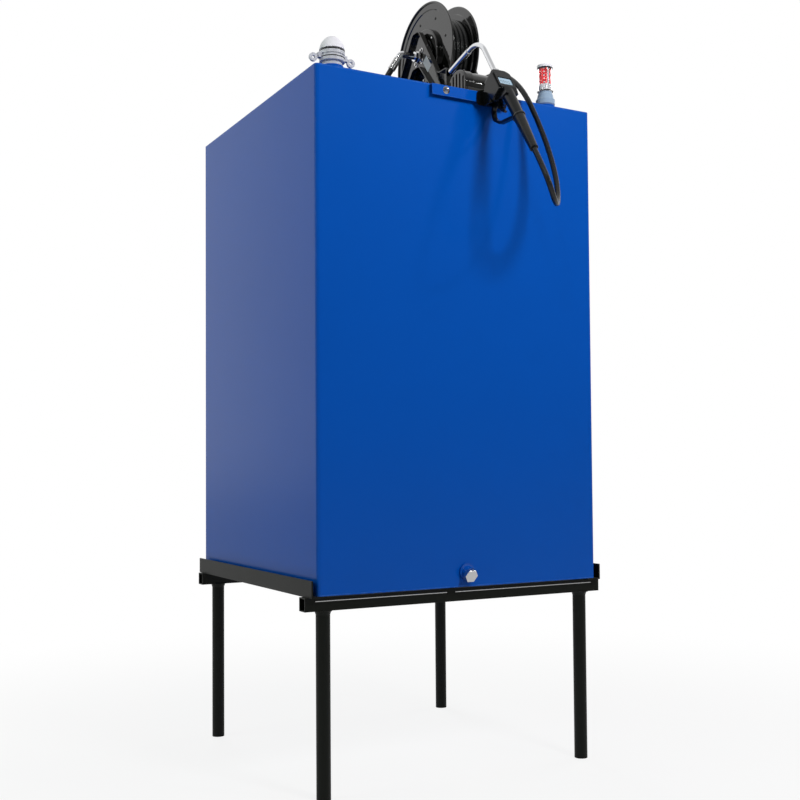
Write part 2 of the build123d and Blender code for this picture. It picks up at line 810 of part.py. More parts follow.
jumper_start = inlet_corner + inlet_drop * (22 + ferrule_length)
jumper_end = Vector(outlet_x, pump_y + outlet_end, top + pump_axis_height)
lying = top + jumper_diameter / 2 + hose_gap
over_plate = top + foot_plate_thick + jumper_diameter / 2 + 2
jumper_points = [
    jumper_start,
    jumper_start + inlet_drop * 80,
    Vector(-52, reel_y + 42, top + 30),
    Vector(40, reel_y + 18, lying),
    Vector(150, reel_y + 2, lying),
    Vector(outlet_x - 12, reel_y - 62, over_plate),
    Vector(outlet_x, jumper_end.Y + 50, jumper_end.Z),
    jumper_end,
]
with BuildPart() as jumper_hose:
    with BuildLine() as jumper_route:
        FilletPolyline(*jumper_points, radius=bend_radii(jumper_points, jumper_diameter))
    with BuildSketch(Plane(origin=jumper_route.line @ 0, z_dir=jumper_route.line % 0)):
        Circle(jumper_diameter / 2)
    sweep()
report_hose(
    "jumper", jumper_points, bend_radii(jumper_points, jumper_diameter), jumper_diameter,
    jumper_hose.part, jumper_route.wires()[0],
)

# Gun bracket: a folded strip that stands proud of the front just under the top edge
strip_top = top - strip_drop
with BuildPart() as nozzle_bracket:
    with BuildSketch(Plane.YZ.offset(strip_left)):
        with BuildLine():
            Polyline(
                (front, strip_top), (front - strip_reach, strip_top),
                (front - strip_reach, strip_top - strip_height),
                (front - strip_reach + strip_thick, strip_top - strip_height),
                (front - strip_reach + strip_thick, strip_top - strip_thick),
                (front, strip_top - strip_thick),
                close=True,
            )
        make_face()
    extrude(amount=strip_right - strip_left)

# Gun. Its own directions: along is from the hose towards the spout, over is from the
# trigger's side towards the display, and x is the tank's x.
along = Vector(0, sin(lean), cos(lean))
over = Vector(0, -cos(lean), sin(lean))
gun_origin = Vector(gun_x, gun_y, top - gun_below_top)


def gun_point(s, n, x=0.0):
    return gun_origin + along * s + over * n + Vector(x, 0, 0)


def gun_section(s):
    return Plane(origin=gun_point(s, 0), x_dir=(1, 0, 0), z_dir=along)


# Side view of the gun: local x runs along it, local y towards the display
side_plane = Plane(origin=gun_origin, x_dir=along, z_dir=(1, 0, 0))
flip = 1 if side_plane.y_dir.dot(over) > 0 else -1

with BuildPart() as gun_body:
    with BuildSketch(gun_section(handle_low)):
        Circle(handle_low_radius)
    with BuildSketch(gun_section(handle_start)):
        Circle(handle_radius)
    loft()
    with BuildSketch(side_plane):
        with BuildLine():
            Polyline(
                (handle_start, flip * handle_radius),
                (handle_start - 26, flip * handle_radius * 0.8),
                (handle_start - 18, -flip * handle_radius * 0.8),
                (valve_step_at, flip * valve_step),
                (valve_low, flip * valve_back),
                (valve_high, flip * valve_back),
                (meter_high - 4, flip * (meter_back - 6)),
                (meter_high - 4, flip * meter_back),
                (handle_start, flip * meter_back),
                close=True,
            )
        make_face()
    extrude(amount=valve_width / 2, both=True)
    for side in (-1, 1):
        ear_x = side * (trigger_width / 2 + side_gap)
        with BuildSketch(side_plane.offset(ear_x)):
            with BuildLine():
                Polyline(
                    (trigger_pivot_s + 2 * trigger_eye_radius, flip * valve_back),
                    (trigger_pivot_s - trigger_eye_radius, flip * (trigger_pivot_n - trigger_eye_radius)),
                    (trigger_pivot_s - trigger_eye_radius, flip * (trigger_pivot_n + trigger_eye_radius)),
                    (trigger_pivot_s + 2 * trigger_eye_radius, flip * meter_back),
                    close=True,
                )
            make_face()
        extrude(amount=side * trigger_ear)
    with BuildSketch(side_plane):
        with Locations((trigger_pivot_s, flip * trigger_pivot_n)):
            Circle(pin_diameter / 2)
    extrude(amount=trigger_width / 2 + side_gap + trigger_ear, both=True)

meter_plane = Plane(origin=gun_point((meter_low + meter_high) / 2, meter_back), x_dir=(1, 0, 0), z_dir=over)
display_plane = Plane(origin=gun_point(display_low + display_height / 2, meter_front), x_dir=(1, 0, 0), z_dir=over)
bezel_plane = Plane(origin=gun_point(meter_low + bezel_height / 2 + meter_edge, 0), x_dir=(1, 0, 0), z_dir=over)
with BuildPart() as gun_meter:
    with BuildSketch(meter_plane) as meter_face:
        Rectangle(meter_width, meter_high - meter_low)
        low_corners, high_corners = meter_face.vertices().group_by(Axis.Y)
        fillet(high_corners, meter_corner)
        fillet(low_corners, meter_low_corner)
    extrude(amount=meter_front - bezel_depth - meter_back)
    fillet(gun_meter.faces().filter_by(lambda f: f.normal_at().dot(over) > 0.99).edges(), meter_edge)
    with BuildSketch(bezel_plane):
        RectangleRounded(bezel_width, bezel_height, bezel_corner)
    extrude(amount=meter_front)
    with BuildSketch(display_plane):
        Rectangle(display_width, display_height)
    extrude(amount=-display_recess, mode=Mode.SUBTRACT)

with BuildPart() as meter_display:
    with BuildSketch(display_plane.offset(-display_recess)):
        Rectangle(display_width, display_height)
    extrude(amount=display_thick)

with BuildPart() as spout_nut:
    with BuildSketch(Plane(origin=gun_point(meter_high, spout_offset), x_dir=(1, 0, 0), z_dir=along)):
        RegularPolygon(spout_nut_radius, 6)
    extrude(amount=spout_nut_length)

spout_start = gun_point(meter_high + spout_nut_length, spout_offset)
spout_corner = gun_point(spout_corner_at, spout_offset)
drop_angle = lean + radians(spout_turn)
spout_heading = Vector(0, sin(drop_angle), cos(drop_angle))
tip_start = spout_corner + spout_heading * (spout_drop_length - tip_length)
with BuildPart() as gun_spout:
    with BuildLine() as spout_route:
        FilletPolyline(spout_start, spout_corner, tip_start, radius=spout_bend)
    with BuildSketch(Plane(origin=spout_route.line @ 0, z_dir=spout_route.line % 0)):
        Circle(spout_diameter / 2)
        Circle(spout_bore / 2, mode=Mode.SUBTRACT)
    sweep()

with BuildPart() as spout_tip:
    with BuildSketch(Plane(origin=tip_start, z_dir=spout_heading)):
        Circle(tip_diameter / 2)
        Circle(spout_bore / 2, mode=Mode.SUBTRACT)
    extrude(amount=tip_length)

boot_high = handle_low
with BuildPart() as swivel_boot:
    with BuildSketch(gun_section(boot_low)):
        Circle(boot_end_radius)
    with BuildSketch(gun_section(boot_high)):
        Circle(boot_top_radius)
    loft()

# Trigger guard: a band from the valve body round the trigger to the handle's lower end
guard_route_points = [
    (guard_root_at, valve_back + guard_root_depth),
    (guard_corner_at, -guard_corner_reach),
    (guard_far_at, -guard_reach),
    (guard_low_at, -guard_low_reach),
    (handle_low + guard_end_rise, -handle_low_radius + 2),
]
with BuildPart() as trigger_guard:
    with BuildLine(side_plane) as guard_route:
        FilletPolyline(*[(s, flip * n) for s, n in guard_route_points], radius=guard_bend)
    with BuildSketch(Plane(origin=guard_route.line @ 0, x_dir=(1, 0, 0), z_dir=guard_route.line % 0)):
        Rectangle(guard_width, guard_thick)
    sweep()
    add(gun_body.part, mode=Mode.SUBTRACT)
    add(swivel_boot.part, mode=Mode.SUBTRACT)

# Trigger: a lever on a pin below the valve body, pulled towards the handle
with BuildPart() as gun_trigger:
    with BuildSketch(side_plane):
        with Locations((trigger_pivot_s, flip * trigger_pivot_n)):
            Circle(trigger_eye_radius)
        with BuildLine():
            Polyline(
                (trigger_pivot_s, flip * (trigger_pivot_n - trigger_eye_radius * 0.8)),
                (trigger_pivot_s - trigger_length, flip * (trigger_pivot_n + trigger_rise - trigger_thick)),
                (trigger_pivot_s - trigger_length, flip * (trigger_pivot_n + trigger_rise)),
                (trigger_pivot_s, flip * (trigger_pivot_n + trigger_eye_radius * 0.8)),
                close=True,
            )
        make_face()
        with Locations((trigger_pivot_s, flip * trigger_pivot_n)):
            Circle(pin_diameter / 2 + running_gap, mode=Mode.SUBTRACT)
    extrude(amount=trigger_width / 2, both=True)

# Holster: a plate on the bracket with two cheeks and a seat that cradle the valve body
holster_face = front - strip_reach
with BuildPart() as nozzle_holster:
    with BuildSketch(Plane.XZ.offset(-holster_face)):
        with Locations((gun_x, top - holster_top_drop - holster_height / 2)):
            RectangleRounded(holster_width, holster_height, holster_corner)
        with Locations((gun_x, top - holster_top_drop)):
            Rectangle(valve_width + 4 * side_gap, 2 * holster_notch, mode=Mode.SUBTRACT)
    extrude(amount=holster_plate)
    for side in (-1, 1):
        cheek_x = gun_x + side * (valve_width / 2 + side_gap * 2)
        with BuildSketch(Plane.YZ.offset(cheek_x)):
            with BuildLine():
                Polyline(
                    (holster_face, top - holster_top_drop),
                    (holster_face - holster_reach * 0.6, top - holster_top_drop),
                    (holster_face - holster_reach, top - holster_top_drop - holster_height * 0.65),
                    (holster_face - holster_reach * 0.8, top - holster_top_drop - holster_height),
                    (holster_face, top - holster_top_drop - holster_height),
                    close=True,
                )
            make_face()
        extrude(amount=side * holster_cheek)
    with BuildSketch(Plane.YZ.offset(gun_x)):
        with BuildLine():
            Polyline(
                (holster_face - holster_plate, top - holster_top_drop - holster_height * 0.45),
                (holster_face - holster_seat_reach, top - holster_top_drop - holster_height),
                (holster_face - holster_plate, top - holster_top_drop - holster_height),
                close=True,
            )
        make_face()
    extrude(amount=valve_width / 2 + side_gap * 2, both=True)

# Delivery hose: from the coil under the drum, over the pump, over the front edge,
# down in a hanging loop and up into the boot under the gun
free_turn_x = reel_x + inner_left + hose_pitch * (hose_turns - 0.5)
hose_low = top + reel_height - free_turn_radius
over_pump = top + pump_axis_height + motor_radius + hose_radius + hose_gap
wrap_turn = 2 * pi / wrap_sides
wrap_points = []
for side in range(wrap_sides - 1, -1, -1):
    corner_angle = wrap_turn * (side + 0.5)
    corner_radius_out = free_turn_radius / cos(wrap_turn / 2)
    corner = reel_centre + Vector(0, sin(corner_angle), -cos(corner_angle)) * corner_radius_out
    wrap_points.append(Vector(free_turn_x, corner.Y, corner.Z))
wrap_start = (wrap_points[0] + wrap_points[1]) / 2
hose_points = [wrap_start] + wrap_points[1:] + [
    Vector(free_turn_x, reel_y - 100, hose_low),
    Vector(free_turn_x + 1, pump_y + 50, over_pump),
    Vector(free_turn_x + 3, pump_y - 40, over_pump - 9),
    Vector(free_turn_x + 5, front + 30, top + 74),
    Vector(free_turn_x + 8, front - 32, top + 10),
    Vector(free_turn_x + 21, front - 75, top - 80),
    Vector(free_turn_x + 33, front - 120, top - 190),
    Vector(free_turn_x + 29, front - 165, top - 300),
    Vector(free_turn_x - 6, front - 215, top - 388),
    Vector(free_turn_x - 71, front - 285, top - 398),
    gun_point(boot_low - 118, 0),
    gun_point(boot_low, 0),
]
with BuildPart() as delivery_hose:
    with BuildLine() as delivery_route:
        FilletPolyline(*hose_points, radius=bend_radii(hose_points, hose_diameter))
    with BuildSketch(Plane(origin=delivery_route.line @ 0, z_dir=delivery_route.line % 0)):
        Circle(hose_diameter / 2)
    sweep()
report_hose(
    "delivery", hose_points, bend_radii(hose_points, hose_diameter), hose_diameter,
    delivery_hose.part, delivery_route.wires()[0],
)

pieces = {
    "side_rail_left": side_rails["left"],
    "side_rail_right": side_rails["right"],
    "cross_rail_front": cross_rails["front"],
    "cross_rail_back": cross_rails["back"],
    "leg_front_left": legs["front_left"],
    "leg_front_right": legs["front_right"],
    "leg_back_left": legs["back_left"],
    "leg_back_right": legs["back_right"],
    "tank_shell": tank_shell,
    "tank_bottom": tank_bottom,
    "tank_top": tank_top,
    "drain_socket": drain_socket,
    "drain_plug": drain_plug,
    "filler_socket": filler_socket,
    "filler_coupler": filler_coupler,
    "filler_cap": filler_cap,
    "cam_lever_left": cam_levers["left"],
    "cam_lever_right": cam_levers["right"],
    "vent_dome": vent_dome,
    "gauge_socket": gauge_socket,
    "gauge_base": gauge_base,
    "gauge_window": gauge_window,
    "gauge_drum": gauge_drum,
    "reel_disc_left": reel_discs["left"],
    "reel_disc_right": reel_discs["right"],
    "reel_drum": reel_drum,
    "wound_hose": wound_hose,
    "spring_case": spring_case,
    "reel_bracket_left": brackets["left"],
    "reel_bracket_right": brackets["right"],
    "reel_foot_front": foot_plates["front"],
    "reel_foot_back": foot_plates["back"],
    "reel_shaft": reel_shaft,
    "reel_inlet": reel_inlet,
    "hose_ferrule": hose_ferrule,
    "jumper_hose": jumper_hose,
    "pump_fan_cover": pump_fan_cover,
    "pump_motor": pump_motor,
    "pump_head": pump_head,
    "pump_outlet": pump_outlet,
    "pump_suction": pump_suction,
    "pump_foot": pump_foot,
    "nozzle_bracket": nozzle_bracket,
    "nozzle_holster": nozzle_holster,
    "gun_body": gun_body,
    "gun_meter": gun_meter,
    "meter_display": meter_display,
    "spout_nut": spout_nut,
    "gun_spout": gun_spout,
    "spout_tip": spout_tip,
    "swivel_boot": swivel_boot,
    "trigger_guard": trigger_guard,
    "gun_trigger": gun_trigger,
    "delivery_hose": delivery_hose,
}
for label, piece in pieces.items():
    piece.part.label = label
    export_step(piece.part, "parts/" + label + ".step")
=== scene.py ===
# %% [markdown]
# A sheet-steel oil tank on a tube stand, with its reel, pump, gun, filler, gauge and drain.
# The CAD model gives every shape that has a real size. This lesson loads it as a fixed frame,
# sets the camera and the light, gives each piece its finish, and adds the small pieces that the
# CAD leaves out: bolts, rivets, seals, weld beads and the smooth hanging hose.

# %% Load the frame
import json
import math

import bmesh
import bpy
from mathutils import Matrix, Vector


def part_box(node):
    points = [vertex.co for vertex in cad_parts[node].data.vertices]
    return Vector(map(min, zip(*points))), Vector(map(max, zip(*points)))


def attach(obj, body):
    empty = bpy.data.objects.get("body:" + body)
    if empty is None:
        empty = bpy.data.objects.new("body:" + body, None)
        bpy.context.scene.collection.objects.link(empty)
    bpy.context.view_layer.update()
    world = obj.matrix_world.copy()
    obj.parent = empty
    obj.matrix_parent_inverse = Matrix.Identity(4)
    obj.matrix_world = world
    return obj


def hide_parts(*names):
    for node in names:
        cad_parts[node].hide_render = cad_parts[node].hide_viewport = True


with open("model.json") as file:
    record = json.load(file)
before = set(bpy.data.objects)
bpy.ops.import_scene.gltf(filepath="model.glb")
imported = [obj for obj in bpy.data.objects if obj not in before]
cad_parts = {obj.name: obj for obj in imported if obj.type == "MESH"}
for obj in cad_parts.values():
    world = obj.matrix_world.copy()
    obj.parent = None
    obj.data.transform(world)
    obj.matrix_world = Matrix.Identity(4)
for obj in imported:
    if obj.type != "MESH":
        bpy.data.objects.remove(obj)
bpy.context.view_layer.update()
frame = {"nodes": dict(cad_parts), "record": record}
nodes = frame["nodes"]
print("loaded", len(nodes), "CAD nodes")

# %% [markdown]
# The camera stands low and to the left, at chest height, and looks slightly up at the tank.
# Its place comes from the tank's corners and the four legs. It is built from three directions:
# where it looks, what is to its right and what is up, with a small roll of the tripod.

# %% Camera
FRAME_PIXELS = 800
FOCAL_PIXELS = 1114.32
SHIFT_PIXELS = 25.8
SENSOR_MM = 36
EYE = Vector((-1.83644, -3.27364, 0.95765))
YAW, PITCH, ROLL = (math.radians(degrees) for degrees in (28.9172, 2.0977, -0.4158))
look = Vector((math.sin(YAW) * math.cos(PITCH), math.cos(YAW) * math.cos(PITCH), math.sin(PITCH)))
level_right = Vector((math.cos(YAW), -math.sin(YAW), 0))
level_up = level_right.cross(look)
right = level_right * math.cos(ROLL) + level_up * math.sin(ROLL)
up = level_up * math.cos(ROLL) - level_right * math.sin(ROLL)
camera_data = bpy.data.cameras.new("camera")
camera_data.sensor_width = SENSOR_MM
camera_data.lens = FOCAL_PIXELS / FRAME_PIXELS * SENSOR_MM
camera_data.shift_y = SHIFT_PIXELS / FRAME_PIXELS
camera = bpy.data.objects.new("camera", camera_data)
turn = Matrix((right, up, -look)).transposed().to_4x4()
camera.matrix_world = Matrix.Translation(EYE) @ turn
bpy.context.collection.objects.link(camera)
bpy.context.scene.camera = camera
print("lens", round(camera_data.lens, 2), "mm")

# %% [markdown]
# The delivery hose lies round the drum for one last turn and leaves it below. It passes beside
# the pump, drops over the front edge in a loop and comes up into the boot under the gun. It is a
# free cord: one smooth curve whose control points are the route's points, so it bends the way a
# rubber hose does. The bevel is one metre deep and each point's radius scales it down to the
# hose, so that the curve's own bounding box stays as tight as the hose.

# %% Delivery hose
HOSE_DIAMETER = 0.017
hose_route = [
    (0.2112, -0.0206, 2.2971), (0.2112, -0.0612, 2.3376), (0.2112, -0.0612, 2.4524),
    (0.2112, 0.0200, 2.5335), (0.2112, 0.1347, 2.5335), (0.2112, 0.2158, 2.4524),
    (0.2112, 0.2158, 2.3376), (0.2112, 0.1347, 2.2565), (0.2112, -0.0227, 2.2565),
    (0.2122, -0.1627, 2.2628), (0.2142, -0.2527, 2.2538), (0.2162, -0.3327, 2.2070),
    (0.2192, -0.3947, 2.1430), (0.2322, -0.4377, 2.0530), (0.2442, -0.4827, 1.9430),
    (0.2402, -0.5277, 1.8330), (0.2052, -0.5777, 1.7450), (0.1402, -0.6477, 1.7350),
    (0.1000, -0.6657, 1.8026), (0.1000, -0.6014, 1.9016),
]


def spline_through(name, route, diameter):
    """A tube along one smooth spline, with the route's points as its control points."""
    curve = bpy.data.curves.new(name, "CURVE")
    curve.dimensions = "3D"
    curve.bevel_depth = 1.0
    curve.bevel_resolution = 5
    curve.resolution_u = 12
    curve.use_fill_caps = True
    spline = curve.splines.new("NURBS")
    spline.points.add(len(route) - 1)
    for control, place in zip(spline.points, route):
        control.co = (*place, 1)
        control.radius = diameter / 2
    spline.order_u = 3
    spline.use_endpoint_u = True
    piece = bpy.data.objects.new(name, curve)
    bpy.context.collection.objects.link(piece)
    return piece


hose = spline_through("delivery_hose_skin", hose_route, HOSE_DIAMETER)
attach(hose, "frame")
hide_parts("delivery_hose")

# %% [markdown]
# The room, the floor and the finishes are built from the same two small nodes: one does a sum, and
# one stretches a value from one span to another.

# %% Node helpers
def math_in(tree, operation, first, second, third=None):
    """A math node. Each input is a number or an output to link."""
    node = tree.nodes.new("ShaderNodeMath")
    node.operation = operation
    for socket, source in zip(node.inputs, (first, second, third)):
        if isinstance(source, (int, float)):
            socket.default_value = source
        elif source is not None:
            tree.links.new(source, socket)
    return node.outputs[0]


def remap_in(tree, source, low, high, to_low, to_high, smooth=False):
    """Stretches a value from one span to another, clamped. A smooth one eases at both ends."""
    spread = tree.nodes.new("ShaderNodeMapRange")
    if smooth:
        spread.interpolation_type = "SMOOTHSTEP"
    ends = {"From Min": low, "From Max": high, "To Min": to_low, "To Max": to_high}
    for socket, value in ends.items():
        spread.inputs[socket].default_value = value
    tree.links.new(source, spread.inputs["Value"])
    return spread.outputs["Result"]


# %% [markdown]
# The stage is a pale floor under soft studio light. The room is white where the camera or a clear
# window looks at it. A reflection sees it white behind the tank and overhead, and dim on the side
# where the photographer stands, because that is what makes gloss black look black and chrome look
# round. For the light that it gives, the room is an even grey, so the lamps shape the tank.

# %% Room
ROOM_LIGHT = 0.17
DIM_SIDE, BRIGHT_SIDE, OVERHEAD = 0.09, 0.92, 0.6
world = bpy.data.worlds.new("studio")
bpy.context.scene.world = world
world.use_nodes = True
sky = world.node_tree
sky.nodes.clear()
rays = sky.nodes.new("ShaderNodeLightPath").outputs
heading = sky.nodes.new("ShaderNodeSeparateXYZ")
sky.links.new(sky.nodes.new("ShaderNodeTexCoord").outputs["Generated"], heading.inputs[0])
behind = remap_in(sky, heading.outputs["Y"], -0.3, 0.25, DIM_SIDE, BRIGHT_SIDE, smooth=True)
overhead = remap_in(sky, heading.outputs["Z"], 0.5, 0.9, 0.0, OVERHEAD, smooth=True)
mirrored = math_in(sky, "MULTIPLY", math_in(sky, "MAXIMUM", behind, overhead), rays["Is Glossy Ray"])
straight = math_in(sky, "MAXIMUM", rays["Is Camera Ray"], rays["Is Transmission Ray"])
strength = math_in(sky, "MAXIMUM", math_in(sky, "MAXIMUM", straight, mirrored), ROOM_LIGHT)
room = sky.nodes.new("ShaderNodeBackground")
room.inputs["Color"].default_value = (1, 1, 1, 1)
sky.links.new(strength, room.inputs["Strength"])
sky.links.new(room.outputs[0], sky.nodes.new("ShaderNodeOutputWorld").inputs["Surface"])
print("room light", ROOM_LIGHT)

# %% [markdown]
# The key lamp hangs high in front of the tank, nearly square to it, so the gun and the hose throw
# their soft shadows straight down the front, as a ceiling light does in a workshop. Three wide
# lamps at the left, the right and the back keep the other sides readable. These four are kept out
# of reflections, or they would burn bright patches into the satin paint, and two small accent
# lamps give the black parts and the drain their highlights.

# %% Lamps
LEFT_TINT = (0.86, 1.0, 0.88)
LAMPS = {  # name: place, the point it aims at, size in metres, watts, whether reflections show it
    "key_lamp": ((0.45, -3.0, 3.15), (0, -0.2, 1.5), 0.7, 77, False),
    "accent_lamp_right": ((2.8, -3.6, 4.4), (0.1, -0.3, 2.2), 0.35, 22, True),
    "accent_lamp_left": ((-2.4, -3.4, 4.6), (0.1, -0.3, 1.6), 0.3, 16, True),
    "left_lamp": ((-4.4, 0.5, 2.9), (0, 0.2, 1.3), 2.2, 70, False),
    "right_lamp": ((4.6, 0.9, 3.4), (0, 0.2, 1.5), 2.2, 80, False),
    "back_lamp": ((0.6, 5.2, 3.8), (0, 0.2, 1.5), 2.2, 130, False),
}
for name, (place, aim, size, watts, reflected) in LAMPS.items():
    lamp = bpy.data.lights.new(name, "AREA")
    lamp.shape = "SQUARE"
    lamp.size = size
    lamp.energy = watts
    holder = bpy.data.objects.new(name, lamp)
    holder.location = place
    holder.rotation_euler = (Vector(aim) - Vector(place)).to_track_quat("-Z", "Y").to_euler()
    holder.visible_glossy = reflected
    bpy.context.collection.objects.link(holder)
bpy.data.lights["left_lamp"].color = LEFT_TINT
bpy.context.scene.view_settings.view_transform = "Standard"
print("lamps", len(LAMPS))

# %% [markdown]
# The floor is a large pale sheet. To the camera most of it glows white, more so with the distance
# from the tank, so it joins the white room without a horizon. Paint and metal see about half of
# that glow. The rest is a plain pale matt, which still takes the soft shadow near the legs.

# %% Floor
FLOOR_SIZE = 40
NEAR, FAR = 0.8, 3.2
NEAR_GLOW, MIRRORED_GLOW = 0.86, 0.45
sheet_plan = bmesh.new()
bmesh.ops.create_grid(sheet_plan, x_segments=1, y_segments=1, size=FLOOR_SIZE)
floor_mesh = bpy.data.meshes.new("floor")
sheet_plan.to_mesh(floor_mesh)
sheet_plan.free()
floor = bpy.data.objects.new("floor", floor_mesh)
bpy.context.collection.objects.link(floor)
floor_paint = bpy.data.materials.new("floor_white")
floor_paint.use_nodes = True
floor_tree = floor_paint.node_tree
floor_shader = floor_tree.nodes["Principled BSDF"]
floor_shader.inputs["Base Color"].default_value = (0.6, 0.6, 0.6, 1)
floor_shader.inputs["Roughness"].default_value = 1
floor_shader.inputs["Specular IOR Level"].default_value = 0
floor_glow = floor_tree.nodes.new("ShaderNodeEmission")
floor_mix = floor_tree.nodes.new("ShaderNodeMixShader")
floor_rays = floor_tree.nodes.new("ShaderNodeLightPath").outputs
distance = floor_tree.nodes.new("ShaderNodeVectorMath")
distance.operation = "LENGTH"
floor_tree.links.new(floor_tree.nodes.new("ShaderNodeTexCoord").outputs["Object"], distance.inputs[0])
fade = remap_in(floor_tree, distance.outputs["Value"], NEAR, FAR, NEAR_GLOW, 1.0, smooth=True)
seen = math_in(
    floor_tree, "MULTIPLY_ADD", floor_rays["Is Glossy Ray"], MIRRORED_GLOW, floor_rays["Is Camera Ray"]
)
floor_tree.links.new(math_in(floor_tree, "MULTIPLY", seen, fade), floor_mix.inputs["Fac"])
floor_tree.links.new(floor_shader.outputs[0], floor_mix.inputs[1])
floor_tree.links.new(floor_glow.outputs[0], floor_mix.inputs[2])
floor_tree.links.new(floor_mix.outputs[0], floor_tree.nodes["Material Output"].inputs["Surface"])
floor_mesh.materials.append(floor_paint)
print("stage ready")

# %% [markdown]
# Many finishes share the same effects, so each effect is a node group with named sockets, built
# once and used with other values in each material. One helper makes an empty group, one adds a
# noise inside it, and one makes a colour lighter or darker.

# %% Group helpers
NUMBER, COLOUR, VECTOR = "NodeSocketFloat", "NodeSocketColor", "NodeSocketVector"


def make_group(name, inputs, outputs):
    """An empty shader group with named sockets, and its two end nodes."""
    group = bpy.data.node_groups.new(name, "ShaderNodeTree")
    for socket, kind, value in inputs:
        made = group.interface.new_socket(name=socket, in_out="INPUT", socket_type=kind)
        made.default_value = value
    for socket, kind in outputs:
        group.interface.new_socket(name=socket, in_out="OUTPUT", socket_type=kind)
    return group, group.nodes.new("NodeGroupInput"), group.nodes.new("NodeGroupOutput")


def noise_in(tree, scale, detail=2.0, roughness=0.5, stretch=None):
    """A noise texture on Object coordinates. Scale is a number or an output to link."""
    places = tree.nodes.new("ShaderNodeTexCoord").outputs["Object"]
    if stretch is not None:
        pull = tree.nodes.new("ShaderNodeVectorMath")
        pull.operation = "MULTIPLY"
        tree.links.new(places, pull.inputs[0])
        tree.links.new(stretch, pull.inputs[1])
        places = pull.outputs[0]
    noise = tree.nodes.new("ShaderNodeTexNoise")
    noise.inputs["Detail"].default_value = detail
    noise.inputs["Roughness"].default_value = roughness
    if isinstance(scale, (int, float)):
        noise.inputs["Scale"].default_value = scale
    else:
        tree.links.new(scale, noise.inputs["Scale"])
    tree.links.new(places, noise.inputs["Vector"])
    return noise.outputs["Fac"]


def toned_in(tree, colour, value):
    """A colour made lighter or darker by a value around one."""
    tone = tree.nodes.new("ShaderNodeHueSaturation")
    tree.links.new(colour, tone.inputs["Color"])
    tree.links.new(value, tone.inputs["Value"])
    return tone.outputs["Color"]


SURFACE_OUTPUTS = [("Colour", COLOUR), ("Roughness", NUMBER), ("Height", NUMBER)]


# %% [markdown]
# Sprayed coat: paint from a gun is never quite even. Its tone drifts over a hand's width, its
# surface has a fine orange peel, and old wipe marks change the gloss. The tank, the stand, the
# reel and the pump all have it.

# %% Sprayed coat
coat, coat_in, coat_out = make_group(
    "sprayed_coat",
    [
        ("Colour", COLOUR, (0, 0.1, 0.5, 1)), ("Drift", NUMBER, 0.1),
        ("Gloss", NUMBER, 0.3), ("Peel Scale", NUMBER, 180.0),
    ],
    SURFACE_OUTPUTS,
)
drift = math_in(coat, "SUBTRACT", noise_in(coat, 1.7, 3), 0.5)
tone = math_in(coat, "MULTIPLY_ADD", drift, coat_in.outputs["Drift"], 1.0)
coat.links.new(toned_in(coat, coat_in.outputs["Colour"], tone), coat_out.inputs["Colour"])
coat.links.new(noise_in(coat, coat_in.outputs["Peel Scale"]), coat_out.inputs["Height"])
wiped = math_in(coat, "MULTIPLY_ADD", noise_in(coat, 6.0, 4, 0.6), 0.08, coat_in.outputs["Gloss"])
coat.links.new(wiped, coat_out.inputs["Roughness"])

# %% [markdown]
# Edge wear: on folded sheet the coat rubs thin along the edges. The Bevel node gives the normal
# that a rounded edge would have, and where it differs from the real one there is an edge. A noise
# breaks the line up, because real wear comes in patches.

# %% Edge wear
wear, wear_in, wear_out = make_group(
    "edge_wear",
    [("Width", NUMBER, 0.002), ("Amount", NUMBER, 0.5), ("Patch Scale", NUMBER, 30.0)],
    [("Mask", NUMBER)],
)
rounded = wear.nodes.new("ShaderNodeBevel")
rounded.samples = 4
wear.links.new(wear_in.outputs["Width"], rounded.inputs["Radius"])
flat_side = wear.nodes.new("ShaderNodeNewGeometry")
alike = wear.nodes.new("ShaderNodeVectorMath")
alike.operation = "DOT_PRODUCT"
wear.links.new(rounded.outputs[0], alike.inputs[0])
wear.links.new(flat_side.outputs["Normal"], alike.inputs[1])
on_edge = remap_in(wear, alike.outputs["Value"], 0.99, 0.85, 0.0, 1.0)
patches = remap_in(wear, noise_in(wear, wear_in.outputs["Patch Scale"], 5, 0.7), 0.42, 0.6, 0.25, 1.0)
worn = math_in(wear, "MULTIPLY", math_in(wear, "MULTIPLY", on_edge, patches), wear_in.outputs["Amount"])
wear.links.new(worn, wear_out.inputs["Mask"])

# %% [markdown]
# Settled dust: on a shop floor a thin grey film lies on everything that faces up. The mask is
# the upward part of the normal, broken by a noise.

# %% Settled dust
dust, dust_in, dust_out = make_group("settled_dust", [("Amount", NUMBER, 0.3)], [("Mask", NUMBER)])
facing = dust.nodes.new("ShaderNodeSeparateXYZ")
dust.links.new(dust.nodes.new("ShaderNodeNewGeometry").outputs["Normal"], facing.inputs[0])
upward = remap_in(dust, facing.outputs["Z"], 0.15, 0.95, 0.0, 1.0)
film = remap_in(dust, noise_in(dust, 14.0, 5, 0.65), 0.3, 0.7, 0.35, 1.0)
lying = math_in(dust, "MULTIPLY", math_in(dust, "MULTIPLY", upward, film), dust_in.outputs["Amount"])
dust.links.new(lying, dust_out.inputs["Mask"])

# %% [markdown]
# Tool lines: turned and drawn metal keeps very fine lines from the tool. A noise that is pulled
# long in two directions and squeezed in the third gives them, and it drives both the bump and
# the roughness.

